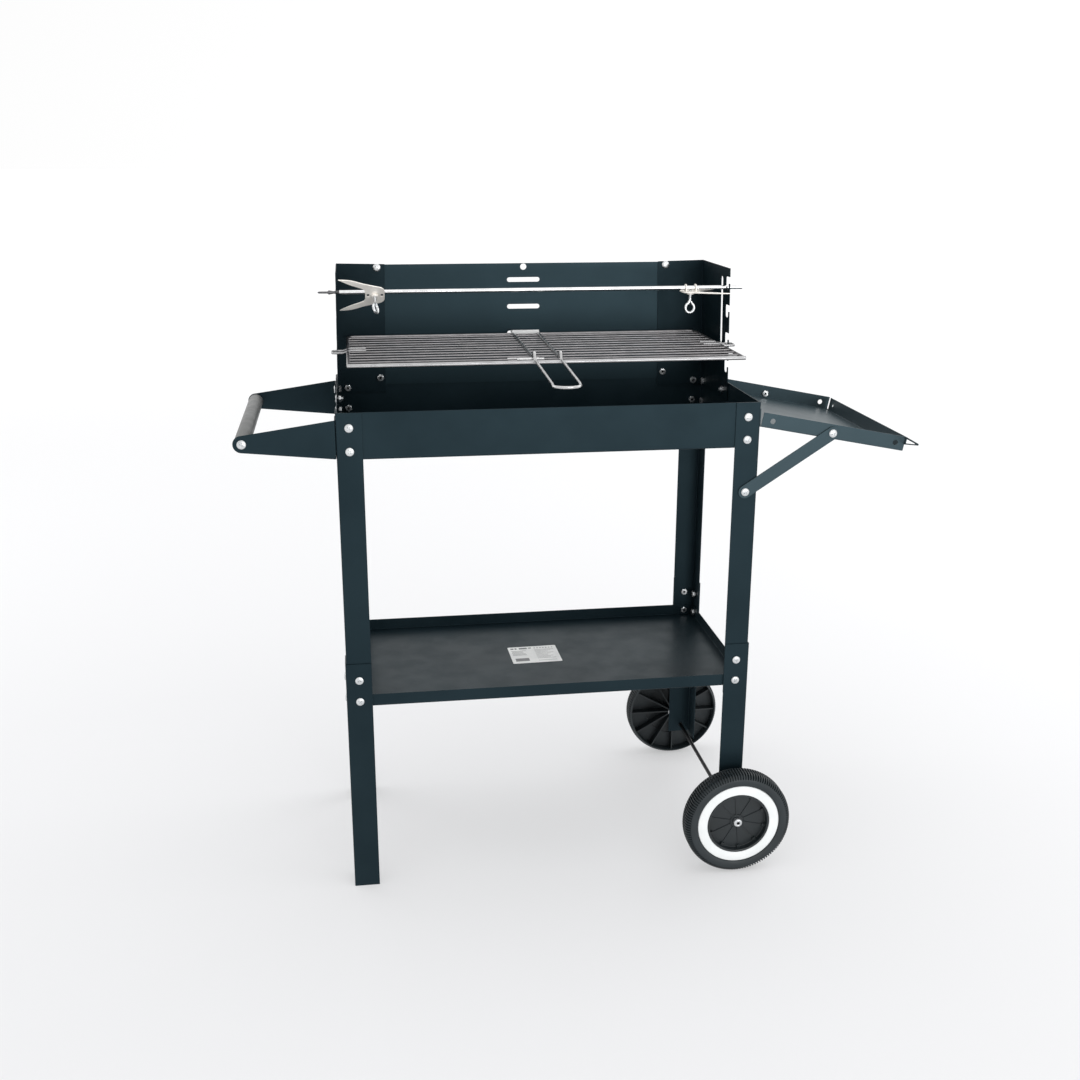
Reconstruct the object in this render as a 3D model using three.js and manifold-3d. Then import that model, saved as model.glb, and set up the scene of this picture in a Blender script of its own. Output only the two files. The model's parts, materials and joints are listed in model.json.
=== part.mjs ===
// Trolley charcoal roaster: a bent-sheet fire box on four two-piece legs, with a windshield
// that holds a spit and a chromed grate in J-shaped notches, a side tray on two braces,
// a carrying handle, a lower shelf and two wheels on one axle.
// Millimetres, +X to the right (the wheel side), +Y to the back, +Z up.

import * as THREE from "three";
import { mergeVertices } from "three/addons/utils/BufferGeometryUtils.js";
import Module from "manifold-3d";

const wasm = await Module();
wasm.setup();

// ---- driving dimensions ----
const LEG_SPAN = 600;            // over the outer faces of the upper legs, left to right
const DEPTH = 312;               // over the outer faces of the upper legs, front to back
const RIM_Z = 732;               // top of the legs and of the fire box
const BOX_HEIGHT = 66;           // fire box, rim to underside
const LEG_WIDTH = 36;            // each flange of a leg angle
const LEG_SHEET = 1.2;
const SHEET = 1.0;               // fire box, windshield, shelf and tray
const GAP = 0.3;                 // between sheets that lie on each other
const BEND_RADIUS = 0.8;         // inside every bend
const UPPER_LEG_FOOT_Z = 285;
const LOWER_LEG_TOP_Z = 364;
const SHELF_Z = 296;             // underside of the lower shelf
const SHELF_RIM = 18.5;
const WHEEL_RADIUS = 83;
const WHEEL_WIDTH = 34;
const AXLE_RADIUS = 3;
const FRONT_WHEEL_FACE_Y = -46;  // outer side face of the front wheel
const REAR_WHEEL_FACE_Y = 400;   // outer side face of the rear wheel
const SHIELD_TOP_Z = 905;
const SHIELD_FOOT_Z = 704;
const SHIELD_FRONT_Y = 155;      // front edge of the windshield's side panels
const SHIELD_LEAN = THREE.MathUtils.degToRad(1.3);
const SHIELD_FLANGE = 75;        // rear flange of a side panel
const LEVEL_PITCH = 42;          // between one grate height and the next
const LEVEL_COUNT = 4;
const TOP_POCKET_Z = 873;        // floor of the highest notch, where the spit turns
const GRATE_LEVEL = 2;           // counted down from the highest notch
const SPIT_RADIUS = 3;
const TRAY_LENGTH = 222;         // along its slope
const TRAY_SLOPE = THREE.MathUtils.degToRad(11);
const TRAY_Z = 696;              // its underside at the leg
const TRAY_RIM = 21.5;
const HANDLE_X = -426.5;
const HANDLE_Z = 692.5;
const BOLT_Z = {
  shieldTop: 898, shieldBottom: 726, boxUpper: 711, boxLower: 678,
  brace: 601, legUpper: 338.5, legLower: 305.5,
};

// ---- derived places ----
const LEG_X = LEG_SPAN / 2;
const BOX_X = LEG_X - LEG_SHEET - GAP;
const BOX_Y = LEG_SHEET + GAP;
const SHIELD_X = BOX_X - SHEET - GAP;
const LOWER_LEG_OFFSET = LEG_SHEET + GAP;
const BOLT_X = LEG_X - LEG_WIDTH / 2;
const AXLE_Z = WHEEL_RADIUS;
const AXLE_X = 286;
const SPIT_Y = SHIELD_FRONT_Y + 12;
const SPIT_Z = TOP_POCKET_Z + SPIT_RADIUS;
const GRATE_POCKET_Z = TOP_POCKET_Z - GRATE_LEVEL * LEVEL_PITCH;
const BACK_WALL_Y = DEPTH - BOX_Y - SHEET;
const BACK_PANEL_Y = BACK_WALL_Y - GAP - SHEET;
const FLANGE_Y = BACK_PANEL_Y - GAP - SHEET;

// ---- materials ----
function finish(color, roughness, metalness) {
  return new THREE.MeshStandardMaterial({ color, roughness, metalness });
}
const blackPaint = finish(0x1d2326, 0.45, 0.1);
const chrome = finish(0xc9ccce, 0.2, 1);
const zinc = finish(0xd6d8d6, 0.35, 1);
const blackPlastic = finish(0x1a1b1c, 0.6, 0);
const whitePlastic = finish(0xf0f2f0, 0.5, 0);
const blackSteel = finish(0x15171a, 0.4, 0.5);

// ---- solids ----
function toSolid(geometry) {
  const bare = geometry.clone();
  bare.deleteAttribute("normal");
  bare.deleteAttribute("uv");
  const merged = mergeVertices(bare, 1e-4);
  return new wasm.Manifold(new wasm.Mesh({
    numProp: 3,
    vertProperties: new Float32Array(merged.attributes.position.array),
    triVerts: new Uint32Array(merged.index.array),
  }));
}

function toMesh(name, solid, material) {
  const body = solid.getMesh();
  const geometry = new THREE.BufferGeometry();
  geometry.setAttribute("position", new THREE.BufferAttribute(body.vertProperties, 3));
  geometry.setIndex(new THREE.BufferAttribute(body.triVerts, 1));
  geometry.computeVertexNormals();
  const mesh = new THREE.Mesh(geometry, material);
  mesh.name = name;
  return mesh;
}

function moved(solid, matrix) {
  return solid.transform(matrix.elements);
}

function block(x0, x1, y0, y1, z0, z1) {
  const geometry = new THREE.BoxGeometry(x1 - x0, y1 - y0, z1 - z0);
  geometry.translate((x0 + x1) / 2, (y0 + y1) / 2, (z0 + z1) / 2);
  return toSolid(geometry);
}

// A round bar from one point to another.
function bar(from, to, radius, sides = 8) {
  const start = new THREE.Vector3(...from);
  const end = new THREE.Vector3(...to);
  const along = end.clone().sub(start);
  const geometry = new THREE.CylinderGeometry(radius, radius, along.length(), sides);
  const turn = new THREE.Quaternion().setFromUnitVectors(new THREE.Vector3(0, 1, 0), along.normalize());
  geometry.applyQuaternion(turn);
  geometry.translate(...start.add(end).multiplyScalar(0.5).toArray());
  return toSolid(geometry);
}

const BEND_STEPS = 2;

function extrude(shape, depth, curveSegments = 6) {
  return new THREE.ExtrudeGeometry(shape, { depth, bevelEnabled: false, curveSegments });
}

// An outline in X and Z, given thickness from y0 to y1.
function plateXZ(shape, y0, y1, curveSegments) {
  const geometry = extrude(shape, y1 - y0, curveSegments);
  geometry.rotateX(Math.PI / 2);
  geometry.translate(0, y1, 0);
  return toSolid(geometry);
}

// An outline in Y and Z, given thickness from x0 to x1.
function plateYZ(shape, x0, x1, curveSegments) {
  const geometry = extrude(shape, x1 - x0, curveSegments);
  const turn = new THREE.Matrix4().makeBasis(
    new THREE.Vector3(0, 1, 0), new THREE.Vector3(0, 0, 1), new THREE.Vector3(1, 0, 0));
  geometry.applyMatrix4(turn);
  geometry.translate(x0, 0, 0);
  return toSolid(geometry);
}

// The cross-section of a bent sheet: an L with its corner at the origin and rounded both ways.
function angleOutline(width, depth, sheet) {
  const outside = BEND_RADIUS + sheet;
  const shape = new THREE.Shape();
  shape.moveTo(width, 0);
  shape.lineTo(width, sheet);
  shape.absarc(outside, outside, BEND_RADIUS, -Math.PI / 2, -Math.PI, true);
  shape.lineTo(sheet, depth);
  shape.lineTo(0, depth);
  shape.absarc(outside, outside, outside, Math.PI, Math.PI * 1.5, false);
  return shape;
}

// A bent sheet standing from z0 to z1, its arms reaching along signX and signY from the corner.
function bentSheet(x, y, z0, z1, signX, signY, width, depth, sheet) {
  const upright = toSolid(extrude(angleOutline(width, depth, sheet), z1 - z0, BEND_STEPS));
  const place = new THREE.Matrix4().makeTranslation(x, y, z0);
  return moved(upright, place.scale(new THREE.Vector3(signX, signY, 1)));
}

function roundedRectangle(u0, u1, v0, v1, lower, upper) {
  const shape = new THREE.Shape();
  shape.absarc(u0 + lower, v0 + lower, lower, Math.PI, Math.PI * 1.5, false);
  shape.absarc(u1 - lower, v0 + lower, lower, Math.PI * 1.5, Math.PI * 2, false);
  if (upper === 0) {
    shape.lineTo(u1, v1);
    shape.lineTo(u0, v1);
  } else {
    shape.absarc(u1 - upper, v1 - upper, upper, 0, Math.PI / 2, false);
    shape.absarc(u0 + upper, v1 - upper, upper, Math.PI / 2, Math.PI, false);
  }
  return shape;
}

// A block whose upright and lower edges are rounded.
function roundedBlock(x0, x1, y0, y1, z0, z1, radius) {
  const plan = extrude(roundedRectangle(x0, x1, y0, y1, radius, radius), z1 - z0, BEND_STEPS);
  plan.translate(0, 0, z0);
  const front = plateXZ(roundedRectangle(x0, x1, z0, z1, radius, 0), y0, y1, BEND_STEPS);
  const side = plateYZ(roundedRectangle(y0, y1, z0, z1, radius, 0), x0, x1, BEND_STEPS);
  return toSolid(plan).intersect(front).intersect(side);
}

// A round-ended bar outline around two centres.
function stadium(ax, ay, bx, by, radius) {
  const angle = Math.atan2(by - ay, bx - ax);
  const shape = new THREE.Shape();
  shape.absarc(bx, by, radius, angle - Math.PI / 2, angle + Math.PI / 2, false);
  shape.absarc(ax, ay, radius, angle + Math.PI / 2, angle + Math.PI * 1.5, false);
  return shape;
}

function union(solids) {
  return solids.reduce((whole, piece) => whole.add(piece));
}

function without(solid, cuts) {
  return cuts.reduce((rest, cut) => rest.subtract(cut), solid);
}

// ---- bolts: a round head, a shank through the sheets and a hexagonal nut ----
const HEAD_RADIUS = 6;
const HEAD_HEIGHT = 2.4;
const SHANK_RADIUS = 2.6;
const HOLE_RADIUS = 3.1;
const NUT_RADIUS = 5;
const NUT_HEIGHT = 4;

// The head's seat is at "at"; "into" points through the sheets, which are "grip" thick.
function boltSpec(name, at, into, grip) {
  return { name, at: new THREE.Vector3(...at), into: new THREE.Vector3(...into), grip };
}

function boltGeometry(grip) {
  const nutStart = grip + GAP;
  const profile = [
    [0, -GAP - HEAD_HEIGHT],
    [HEAD_RADIUS, -GAP - HEAD_HEIGHT],
    [HEAD_RADIUS, -GAP],
    [SHANK_RADIUS, -GAP],
    [SHANK_RADIUS, nutStart],
    [NUT_RADIUS, nutStart],
    [NUT_RADIUS, nutStart + NUT_HEIGHT],
    [0, nutStart + NUT_HEIGHT],
  ];
  return new THREE.LatheGeometry(profile.map(([r, y]) => new THREE.Vector2(r, y)), 6);
}

function boltMesh(spec) {
  const mesh = new THREE.Mesh(boltGeometry(spec.grip), zinc);
  mesh.name = spec.name;
  mesh.position.copy(spec.at);
  mesh.quaternion.setFromUnitVectors(new THREE.Vector3(0, 1, 0), spec.into);
  return mesh;
}

function boltHole(spec) {
  const reach = spec.into.clone().multiplyScalar(12);
  const from = spec.at.clone().sub(reach);
  const to = spec.at.clone().add(reach);
  return bar(from.toArray(), to.toArray(), HOLE_RADIUS);
}

// Cuts the clearance hole of every bolt in a list.
function drilled(solid, specs) {
  return without(solid, specs.map(boltHole));
}

// The two faces that carry legs: which way is out, and how a distance inwards reads in Y.
const FACES = [
  { label: "front", into: 1, y: (inwards) => inwards },
  { label: "rear", into: -1, y: (inwards) => DEPTH - inwards },
];
const SIDES = [
  { label: "left", sign: -1 },
  { label: "right", sign: 1 },
];

const BRACE_SHEET = 2;
const BRACE_Y = -GAP - BRACE_SHEET;
const BRACE_TOP = { x: 409, z: 684 };
const SHIELD_BOLT_X = 230;

const legBolts = [];
for (const face of FACES) {
  for (const side of SIDES) {
    const behindShield = face.label === "rear" ? DEPTH - FLANGE_Y : BOX_Y + SHEET;
    const rows = [
      ["box_upper", BOLT_Z.boxUpper, 0, behindShield],
      ["box_lower", BOLT_Z.boxLower, 0, BOX_Y + SHEET],
      ["shin_upper", BOLT_Z.legUpper, -LOWER_LEG_OFFSET, LOWER_LEG_OFFSET + LEG_SHEET],
      ["shin_lower", BOLT_Z.legLower, -LOWER_LEG_OFFSET, LOWER_LEG_OFFSET + BOX_Y + SHEET],
    ];
    for (const [row, z, seat, grip] of rows) {
      const at = [side.sign * BOLT_X, face.y(seat), z];
      legBolts.push(boltSpec(`bolt_${row}_${face.label}_${side.label}`, at, [0, face.into, 0], grip));
    }
  }
}

const braceBolts = FACES.flatMap((face) => {
  const into = [0, face.into, 0];
  const legEnd = [BOLT_X, face.y(BRACE_Y), BOLT_Z.brace];
  const trayEnd = [BRACE_TOP.x, face.y(BRACE_Y), BRACE_TOP.z];
  return [
    boltSpec(`bolt_brace_leg_${face.label}`, legEnd, into, BRACE_SHEET + GAP + LEG_SHEET),
    boltSpec(`bolt_brace_tray_${face.label}`, trayEnd, into, BRACE_SHEET + GAP + SHEET),
  ];
});

const shieldBolts = SIDES.flatMap((side) => {
  const x = side.sign * SHIELD_BOLT_X;
  const top = [x, FLANGE_Y, BOLT_Z.shieldTop];
  const bottom = [x, DEPTH - BOX_Y, BOLT_Z.shieldBottom];
  return [
    boltSpec(`bolt_shield_top_${side.label}`, top, [0, 1, 0], 2 * SHEET + GAP),
    boltSpec(`bolt_shield_bottom_${side.label}`, bottom, [0, -1, 0], DEPTH - BOX_Y - FLANGE_Y),
  ];
});

const handleBolts = FACES.map((face) => {
  const at = [-LEG_X - LEG_SHEET - GAP, face.y(LEG_WIDTH / 2), BOLT_Z.boxUpper];
  const inner = face.label === "rear" ? SHIELD_X - SHEET : BOX_X - SHEET;
  const grip = LEG_X + LEG_SHEET + GAP - inner;
  return boltSpec(`bolt_handle_${face.label}`, at, [1, 0, 0], grip);
});

const allBolts = [...legBolts, ...braceBolts, ...shieldBolts, ...handleBolts];

// ---- legs ----
// An angle of sheet whose corner points outwards; "offset" moves its outer faces outwards.
function legAngle(side, face, offset, width, z0, z1) {
  const x = side.sign * (LEG_X + offset);
  return bentSheet(x, face.y(-offset), z0, z1, -side.sign, face.into, width, width, LEG_SHEET);
}

function upperLeg(side, face) {
  const angle = legAngle(side, face, 0, LEG_WIDTH, UPPER_LEG_FOOT_Z, RIM_Z);
  const name = `upper_leg_${face.label}_${side.label}`;
  return toMesh(name, drilled(angle, allBolts), blackPaint);
}

const AXLE_HOLE_RADIUS = AXLE_RADIUS + 0.6;
const AXLE_LEG_END = AXLE_Z - 12;

function lowerLeg(side, face) {
  const foot = side.sign > 0 ? AXLE_LEG_END : 0;
  const width = LEG_WIDTH + LOWER_LEG_OFFSET;
  const angle = legAngle(side, face, LOWER_LEG_OFFSET, width, foot, LOWER_LEG_TOP_Z);
  const axleHole = bar([AXLE_X, -20, AXLE_Z], [AXLE_X, DEPTH + 20, AXLE_Z], AXLE_HOLE_RADIUS, 12);
  const name = `lower_leg_${face.label}_${side.label}`;
  return toMesh(name, drilled(angle, legBolts).subtract(axleHole), blackPaint);
}

// ---- trays of bent sheet ----
// An open box: a floor and four walls of one thickness, rounded where the sheet is bent.
function openBox(x0, x1, y0, y1, z0, z1, thickness) {
  const hollow = roundedBlock(x0 + thickness, x1 - thickness, y0 + thickness, y1 - thickness,
    z0 + thickness, z1 + 1, BEND_RADIUS);
  return roundedBlock(x0, x1, y0, y1, z0, z1, BEND_RADIUS + thickness).subtract(hollow);
}

function fireBox() {
  const shell = openBox(-BOX_X, BOX_X, BOX_Y, DEPTH - BOX_Y, RIM_Z - BOX_HEIGHT, RIM_Z, SHEET);
  return toMesh("firebox", drilled(shell, allBolts), blackPaint);
}

function lowerShelf() {
  const shell = openBox(-BOX_X, BOX_X, BOX_Y, DEPTH - BOX_Y, SHELF_Z, SHELF_Z + SHELF_RIM, SHEET);
  return toMesh("lower_shelf", drilled(shell, legBolts), blackPaint);
}

// ---- windshield ----
const NOTCH_MOUTH = 10;          // height of a notch's mouth at the panel's front edge
const NOTCH_DROP = 9;            // how far its pocket goes down behind the lip
const NOTCH_LIP = 5;
const NOTCH_REACH = 19.5;        // from the front edge to the back of the pocket
const NOTCH_CORNER = 4;
const SLOT_Y = SHIELD_FRONT_Y + 40.5;
const SLOT_RADIUS = 5.5;
const SLOT_ENDS_Z = [794, 885];

// One notch: a mouth at the panel's front edge, and a pocket that drops behind the lip.
function notchOutline(level) {
  const floor = TOP_POCKET_Z - level * LEVEL_PITCH;
  const lip = floor + NOTCH_DROP;
  const ceiling = lip + NOTCH_MOUTH;
  const lipY = SHIELD_FRONT_Y + NOTCH_LIP;
  const backY = SHIELD_FRONT_Y + NOTCH_REACH - NOTCH_CORNER;
  const shape = new THREE.Shape();
  shape.moveTo(SHIELD_FRONT_Y - 1, ceiling);
  shape.lineTo(SHIELD_FRONT_Y - 1, lip);
  shape.absarc(lipY - 1, lip - 1, 1, Math.PI / 2, 0, true);
  shape.absarc(lipY + NOTCH_CORNER, floor + NOTCH_CORNER, NOTCH_CORNER, Math.PI, Math.PI * 1.5, false);
  shape.absarc(backY, floor + NOTCH_CORNER, NOTCH_CORNER, -Math.PI / 2, 0, false);
  shape.absarc(backY, ceiling - NOTCH_CORNER, NOTCH_CORNER, 0, Math.PI / 2, false);
  return shape;
}

function windshieldSide(side) {
  const x = side.sign * SHIELD_X;
  const rearY = FLANGE_Y + SHEET;
  const bent = bentSheet(x, rearY, SHIELD_FOOT_Z, SHIELD_TOP_Z, -side.sign, -1,
    SHIELD_FLANGE, rearY - SHIELD_FRONT_Y, SHEET);
  const outlines = [stadium(SLOT_Y, SLOT_ENDS_Z[0], SLOT_Y, SLOT_ENDS_Z[1], SLOT_RADIUS)];
  for (let level = 0; level < LEVEL_COUNT; level += 1) {
    outlines.push(notchOutline(level));
  }
  const cuts = outlines.map((outline) => plateYZ(outline, x - 2 * SHEET, x + 2 * SHEET, 4));
  const lean = new THREE.Matrix4().makeTranslation(x, 0, SHIELD_FOOT_Z)
    .multiply(new THREE.Matrix4().makeRotationY(-side.sign * SHIELD_LEAN))
    .multiply(new THREE.Matrix4().makeTranslation(-x, 0, -SHIELD_FOOT_Z));
  const leaning = moved(without(bent, cuts), lean);
  return toMesh(`windshield_${side.label}`, drilled(leaning, allBolts), blackPaint);
}

const BACK_PANEL_X = 290;
const BACK_PANEL_TOP = SHIELD_TOP_Z - 2.5;
const BACK_PANEL_FOOT = 715;
const BACK_SLOT_Z = TOP_POCKET_Z + 4;   // the highest slot's middle
const BACK_SLOT_LENGTH = 52;
const BACK_SLOT_RADIUS = 3.6;
const HANG_HOLE_Z = 897;
const HANG_HOLE_RADIUS = 5;

function windshieldBack() {
  const shape = new THREE.Shape();
  shape.moveTo(-BACK_PANEL_X, BACK_PANEL_FOOT);
  shape.lineTo(BACK_PANEL_X, BACK_PANEL_FOOT);
  shape.lineTo(BACK_PANEL_X, BACK_PANEL_TOP);
  shape.lineTo(-BACK_PANEL_X, BACK_PANEL_TOP);
  const reach = BACK_SLOT_LENGTH / 2 - BACK_SLOT_RADIUS;
  for (let level = 0; level < LEVEL_COUNT; level += 1) {
    const z = BACK_SLOT_Z - level * LEVEL_PITCH;
    shape.holes.push(stadium(-reach, z, reach, z, BACK_SLOT_RADIUS));
  }
  shape.holes.push(new THREE.Path().absarc(0, HANG_HOLE_Z, HANG_HOLE_RADIUS, 0, Math.PI * 2, true));
  const panel = plateXZ(shape, BACK_PANEL_Y, BACK_PANEL_Y + SHEET, 6);
  return toMesh("windshield_back", drilled(panel, allBolts), blackPaint);
}

// ---- handle: two tapered brackets and a round grip ----
const BRACKET_X = -LEG_X - GAP;           // inner face of the flange that lies on the leg
const BRACKET_END_RADIUS = 12;
const BRACKET_HALF_HEIGHT = 27;
const BRACKET_MID_Z = 695;
const GRIP_RADIUS = 11;
const GRIP_SCREW_RADIUS = 2.2;

// A plate that tapers to the grip, with a flange bent inwards along the leg.
function handleBracket(face) {
  const z0 = BRACKET_MID_Z - BRACKET_HALF_HEIGHT;
  const z1 = BRACKET_MID_Z + BRACKET_HALF_HEIGHT;
  const reach = BRACKET_X - HANDLE_X + BRACKET_END_RADIUS;
  const bent = bentSheet(BRACKET_X, face.y(0), z0, z1, -1, face.into,
    reach, LEG_WIDTH - 2, LEG_SHEET);
  const shape = new THREE.Shape();
  shape.moveTo(BRACKET_X + 1, z0 - 1);
  shape.lineTo(BRACKET_X + 1, z1 + 1);
  shape.lineTo(BRACKET_X - BEND_RADIUS - LEG_SHEET, z1);
  shape.absarc(HANDLE_X, HANDLE_Z, BRACKET_END_RADIUS, Math.PI / 2, Math.PI * 1.5, false);
  shape.lineTo(BRACKET_X - BEND_RADIUS - LEG_SHEET, z0);
  const y = [face.y(-1), face.y(LEG_WIDTH)].sort((a, b) => a - b);
  const screwHole = bar([HANDLE_X, face.y(-5), HANDLE_Z], [HANDLE_X, face.y(5), HANDLE_Z],
    GRIP_SCREW_RADIUS + 0.5);
  const solid = drilled(bent.intersect(plateXZ(shape, ...y, 8)), handleBolts).subtract(screwHole);
  return toMesh(`handle_bracket_${face.label}`, solid, blackPaint);
}

const GRIP_SCREW_DEPTH = 16;

function handleGrip() {
  const y0 = LEG_SHEET + GAP;
  const y1 = DEPTH - y0;
  const grip = bar([HANDLE_X, y0, HANDLE_Z], [HANDLE_X, y1, HANDLE_Z], GRIP_RADIUS, 20);
  const pilots = FACES.map((face) => bar(
    [HANDLE_X, face.y(-1), HANDLE_Z],
    [HANDLE_X, face.y(GRIP_SCREW_DEPTH + 2), HANDLE_Z], GRIP_SCREW_RADIUS + 0.4));
  return toMesh("handle_grip", without(grip, pilots), blackPlastic);
}

function handleScrew(face) {
  const profile = [
    [0, -GAP - 3],
    [4, -GAP - 3],
    [6.5, -GAP - 1],
    [6.5, -GAP],
    [GRIP_SCREW_RADIUS, -GAP],
    [GRIP_SCREW_RADIUS, GRIP_SCREW_DEPTH - 3],
    [0, GRIP_SCREW_DEPTH],
  ];
  const geometry = new THREE.LatheGeometry(profile.map(([r, y]) => new THREE.Vector2(r, y)), 10);
  const mesh = new THREE.Mesh(geometry, zinc);
  mesh.name = `handle_screw_${face.label}`;
  mesh.position.set(HANDLE_X, face.y(0), HANDLE_Z);
  mesh.rotation.x = face.into > 0 ? 0 : Math.PI;
  return mesh;
}

// ---- side tray and its braces ----
const TRAY_X = LEG_X + GAP;               // face of the flange that is bolted to the legs
const TRAY_FLANGE_TOP = 722;
const TRAY_HOLES_U = [16, 207];           // along the slope, in the front and rear rims
const TRAY_HOLE_RADIUS = 4;
const END_RIM_HOLE = { y: 288, radius: 2.5 };
const TRAY_CORNER_RELIEF = 9;
const EAR_LENGTH = 42;
const EAR_ROOT = 12;                      // its height where it leaves the end rim

function polygon(points) {
  return points.map(([x, y]) => new THREE.Vector2(x, y));
}

// A tapering ear that carries the end rim on past the front rim, open inside like a loop.
function trayEar() {
  const top = TRAY_RIM;
  const shape = new THREE.Shape(polygon([
    [3, top], [-EAR_LENGTH, top - 1], [-EAR_LENGTH, top - 3.5], [3, top - EAR_ROOT]]));
  shape.holes.push(new THREE.Path(polygon([
    [-3, top - 2.5], [-3, top - EAR_ROOT + 3], [10 - EAR_LENGTH, top - 3.8], [10 - EAR_LENGTH, top - 3]])));
  return plateYZ(shape, TRAY_LENGTH - SHEET, TRAY_LENGTH, 4);
}

// The tray is drawn level, with u along it from the leg, then tipped down away from the leg.
function sideTray() {
  const rimmed = openBox(-20, TRAY_LENGTH, 0, DEPTH, 0, TRAY_RIM, SHEET);
  const openEnd = block(-21, 0, -1, DEPTH + 1, -1, TRAY_RIM + 1);
  const relief = block(TRAY_LENGTH - 3 * SHEET, TRAY_LENGTH + 1,
    DEPTH - TRAY_CORNER_RELIEF, DEPTH - 2 * SHEET, 2 * SHEET, TRAY_RIM + 1);
  const midRim = TRAY_RIM / 2;
  const holes = [0, DEPTH].flatMap((y) => TRAY_HOLES_U.map(
    (u) => bar([u, y - 5, midRim], [u, y + 5, midRim], TRAY_HOLE_RADIUS, 16)));
  holes.push(bar([TRAY_LENGTH - 5, END_RIM_HOLE.y, midRim],
    [TRAY_LENGTH + 5, END_RIM_HOLE.y, midRim], END_RIM_HOLE.radius, 12));
  const tray = without(rimmed, [openEnd, relief, ...holes]).add(trayEar());
  const tip = new THREE.Matrix4().makeTranslation(TRAY_X + SHEET, 0, TRAY_Z)
    .multiply(new THREE.Matrix4().makeRotationY(TRAY_SLOPE));
  const legFlange = block(TRAY_X, TRAY_X + SHEET, 2, DEPTH - 2, TRAY_Z, TRAY_FLANGE_TOP);
  const bend = block(TRAY_X, TRAY_X + SHEET + 1, 2, DEPTH - 2, TRAY_Z, TRAY_Z + SHEET - 0.2);
  const solid = union([moved(tray, tip), legFlange, bend]);
  return toMesh("side_tray", drilled(solid, braceBolts), blackPaint);
}

const BRACE_HALF_WIDTH = 9.5;

function trayBrace(face) {
  const outline = stadium(BOLT_X, BOLT_Z.brace, BRACE_TOP.x, BRACE_TOP.z, BRACE_HALF_WIDTH);
  const y = [face.y(BRACE_Y), face.y(-GAP)].sort((a, b) => a - b);
  const solid = drilled(plateXZ(outline, ...y, 8), braceBolts);
  return toMesh(`tray_brace_${face.label}`, solid, blackPaint);
}

// ---- axle and wheels ----
// Depths are measured inwards from the wheel's outer face.
const CAP_RADIUS = 7;
const CAP_FACE = 3;
const CAP_MOUTH = 9.5;
const AXLE_END = 6;
const HUB_DISC_RADIUS = 47;
const HUB_RECESS = 12;
const HUB_LIP = 2;
const RING_INNER = 49;
const RING_OUTER = 64;
const RING_FACE = 2;
const RING_EDGE = 0.5;                    // rounding of its two edges
const RING_SEAT = 5;                      // floor of the ring's groove
const TYRE_SHOULDER = 4;
const TYRE_WALL = 6;                      // tread to the open inner side
const HUB_SHEET = 3;
const BOSS_RADIUS = 11;
const BOSS_FACE = 10.5;                   // its outer end
const BOSS_SHORT = 2;                     // its inner end, before the wheel's inner face
const AXLE_BORE = AXLE_RADIUS + 0.4;

function axle() {
  const from = FRONT_WHEEL_FACE_Y + AXLE_END;
  const to = REAR_WHEEL_FACE_Y - AXLE_END;
  const rod = bar([AXLE_X, from, AXLE_Z], [AXLE_X, to, AXLE_Z], AXLE_RADIUS, 12);
  return toMesh("axle", rod, blackSteel);
}

function lathed(name, profile, segments, material) {
  const points = profile.map(([r, y]) => new THREE.Vector2(r, y));
  const mesh = new THREE.Mesh(new THREE.LatheGeometry(points, segments), material);
  mesh.name = name;
  return mesh;
}

// Wheel parts are turned about +Y with the outer face at y = 0 and the wheel behind it.
function wheel(label) {
  const profile = [
    [AXLE_BORE, BOSS_FACE],
    [BOSS_RADIUS, BOSS_FACE],
    [BOSS_RADIUS, HUB_RECESS],
    [HUB_DISC_RADIUS, HUB_RECESS],
    [HUB_DISC_RADIUS, HUB_LIP],
    [RING_INNER - GAP, HUB_LIP],
    [RING_INNER - GAP, RING_SEAT],
    [RING_OUTER + GAP, RING_SEAT],
    [RING_OUTER + GAP, 1],
    [WHEEL_RADIUS - TYRE_SHOULDER - 4, 0],
    [WHEEL_RADIUS - TYRE_SHOULDER, 1],
    [WHEEL_RADIUS, TYRE_SHOULDER + 1],
    [WHEEL_RADIUS, WHEEL_WIDTH - TYRE_SHOULDER - 1],
    [WHEEL_RADIUS - TYRE_SHOULDER, WHEEL_WIDTH],
    [WHEEL_RADIUS - TYRE_WALL, WHEEL_WIDTH],
    [WHEEL_RADIUS - TYRE_WALL, HUB_RECESS + HUB_SHEET],
    [BOSS_RADIUS, HUB_RECESS + HUB_SHEET],
    [BOSS_RADIUS, WHEEL_WIDTH - BOSS_SHORT],
    [AXLE_BORE, WHEEL_WIDTH - BOSS_SHORT],
    [AXLE_BORE, BOSS_FACE],
  ];
  return lathed(`wheel_${label}`, profile, 24, blackPlastic);
}

function wheelRing(label) {
  const profile = [
    [RING_INNER, RING_SEAT - GAP],
    [RING_INNER, RING_FACE + RING_EDGE],
    [RING_INNER + RING_EDGE, RING_FACE],
    [RING_OUTER - RING_EDGE, RING_FACE],
    [RING_OUTER, RING_FACE + RING_EDGE],
    [RING_OUTER, RING_SEAT - GAP],
    [RING_INNER, RING_SEAT - GAP],
  ];
  return lathed(`wheel_ring_${label}`, profile, 24, whitePlastic);
}

// A domed push cap that grips the end of the axle, with a blind bore.
function axleCap(label) {
  const profile = [
    [0, CAP_FACE],
    [CAP_RADIUS - 2, CAP_FACE + 0.5],
    [CAP_RADIUS, CAP_FACE + 2.5],
    [CAP_RADIUS, CAP_MOUTH],
    [AXLE_RADIUS + GAP, CAP_MOUTH],
    [AXLE_RADIUS + GAP, AXLE_END - GAP],
    [0, AXLE_END - GAP],
  ];
  return lathed(`axle_cap_${label}`, profile, 12, zinc);
}

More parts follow.
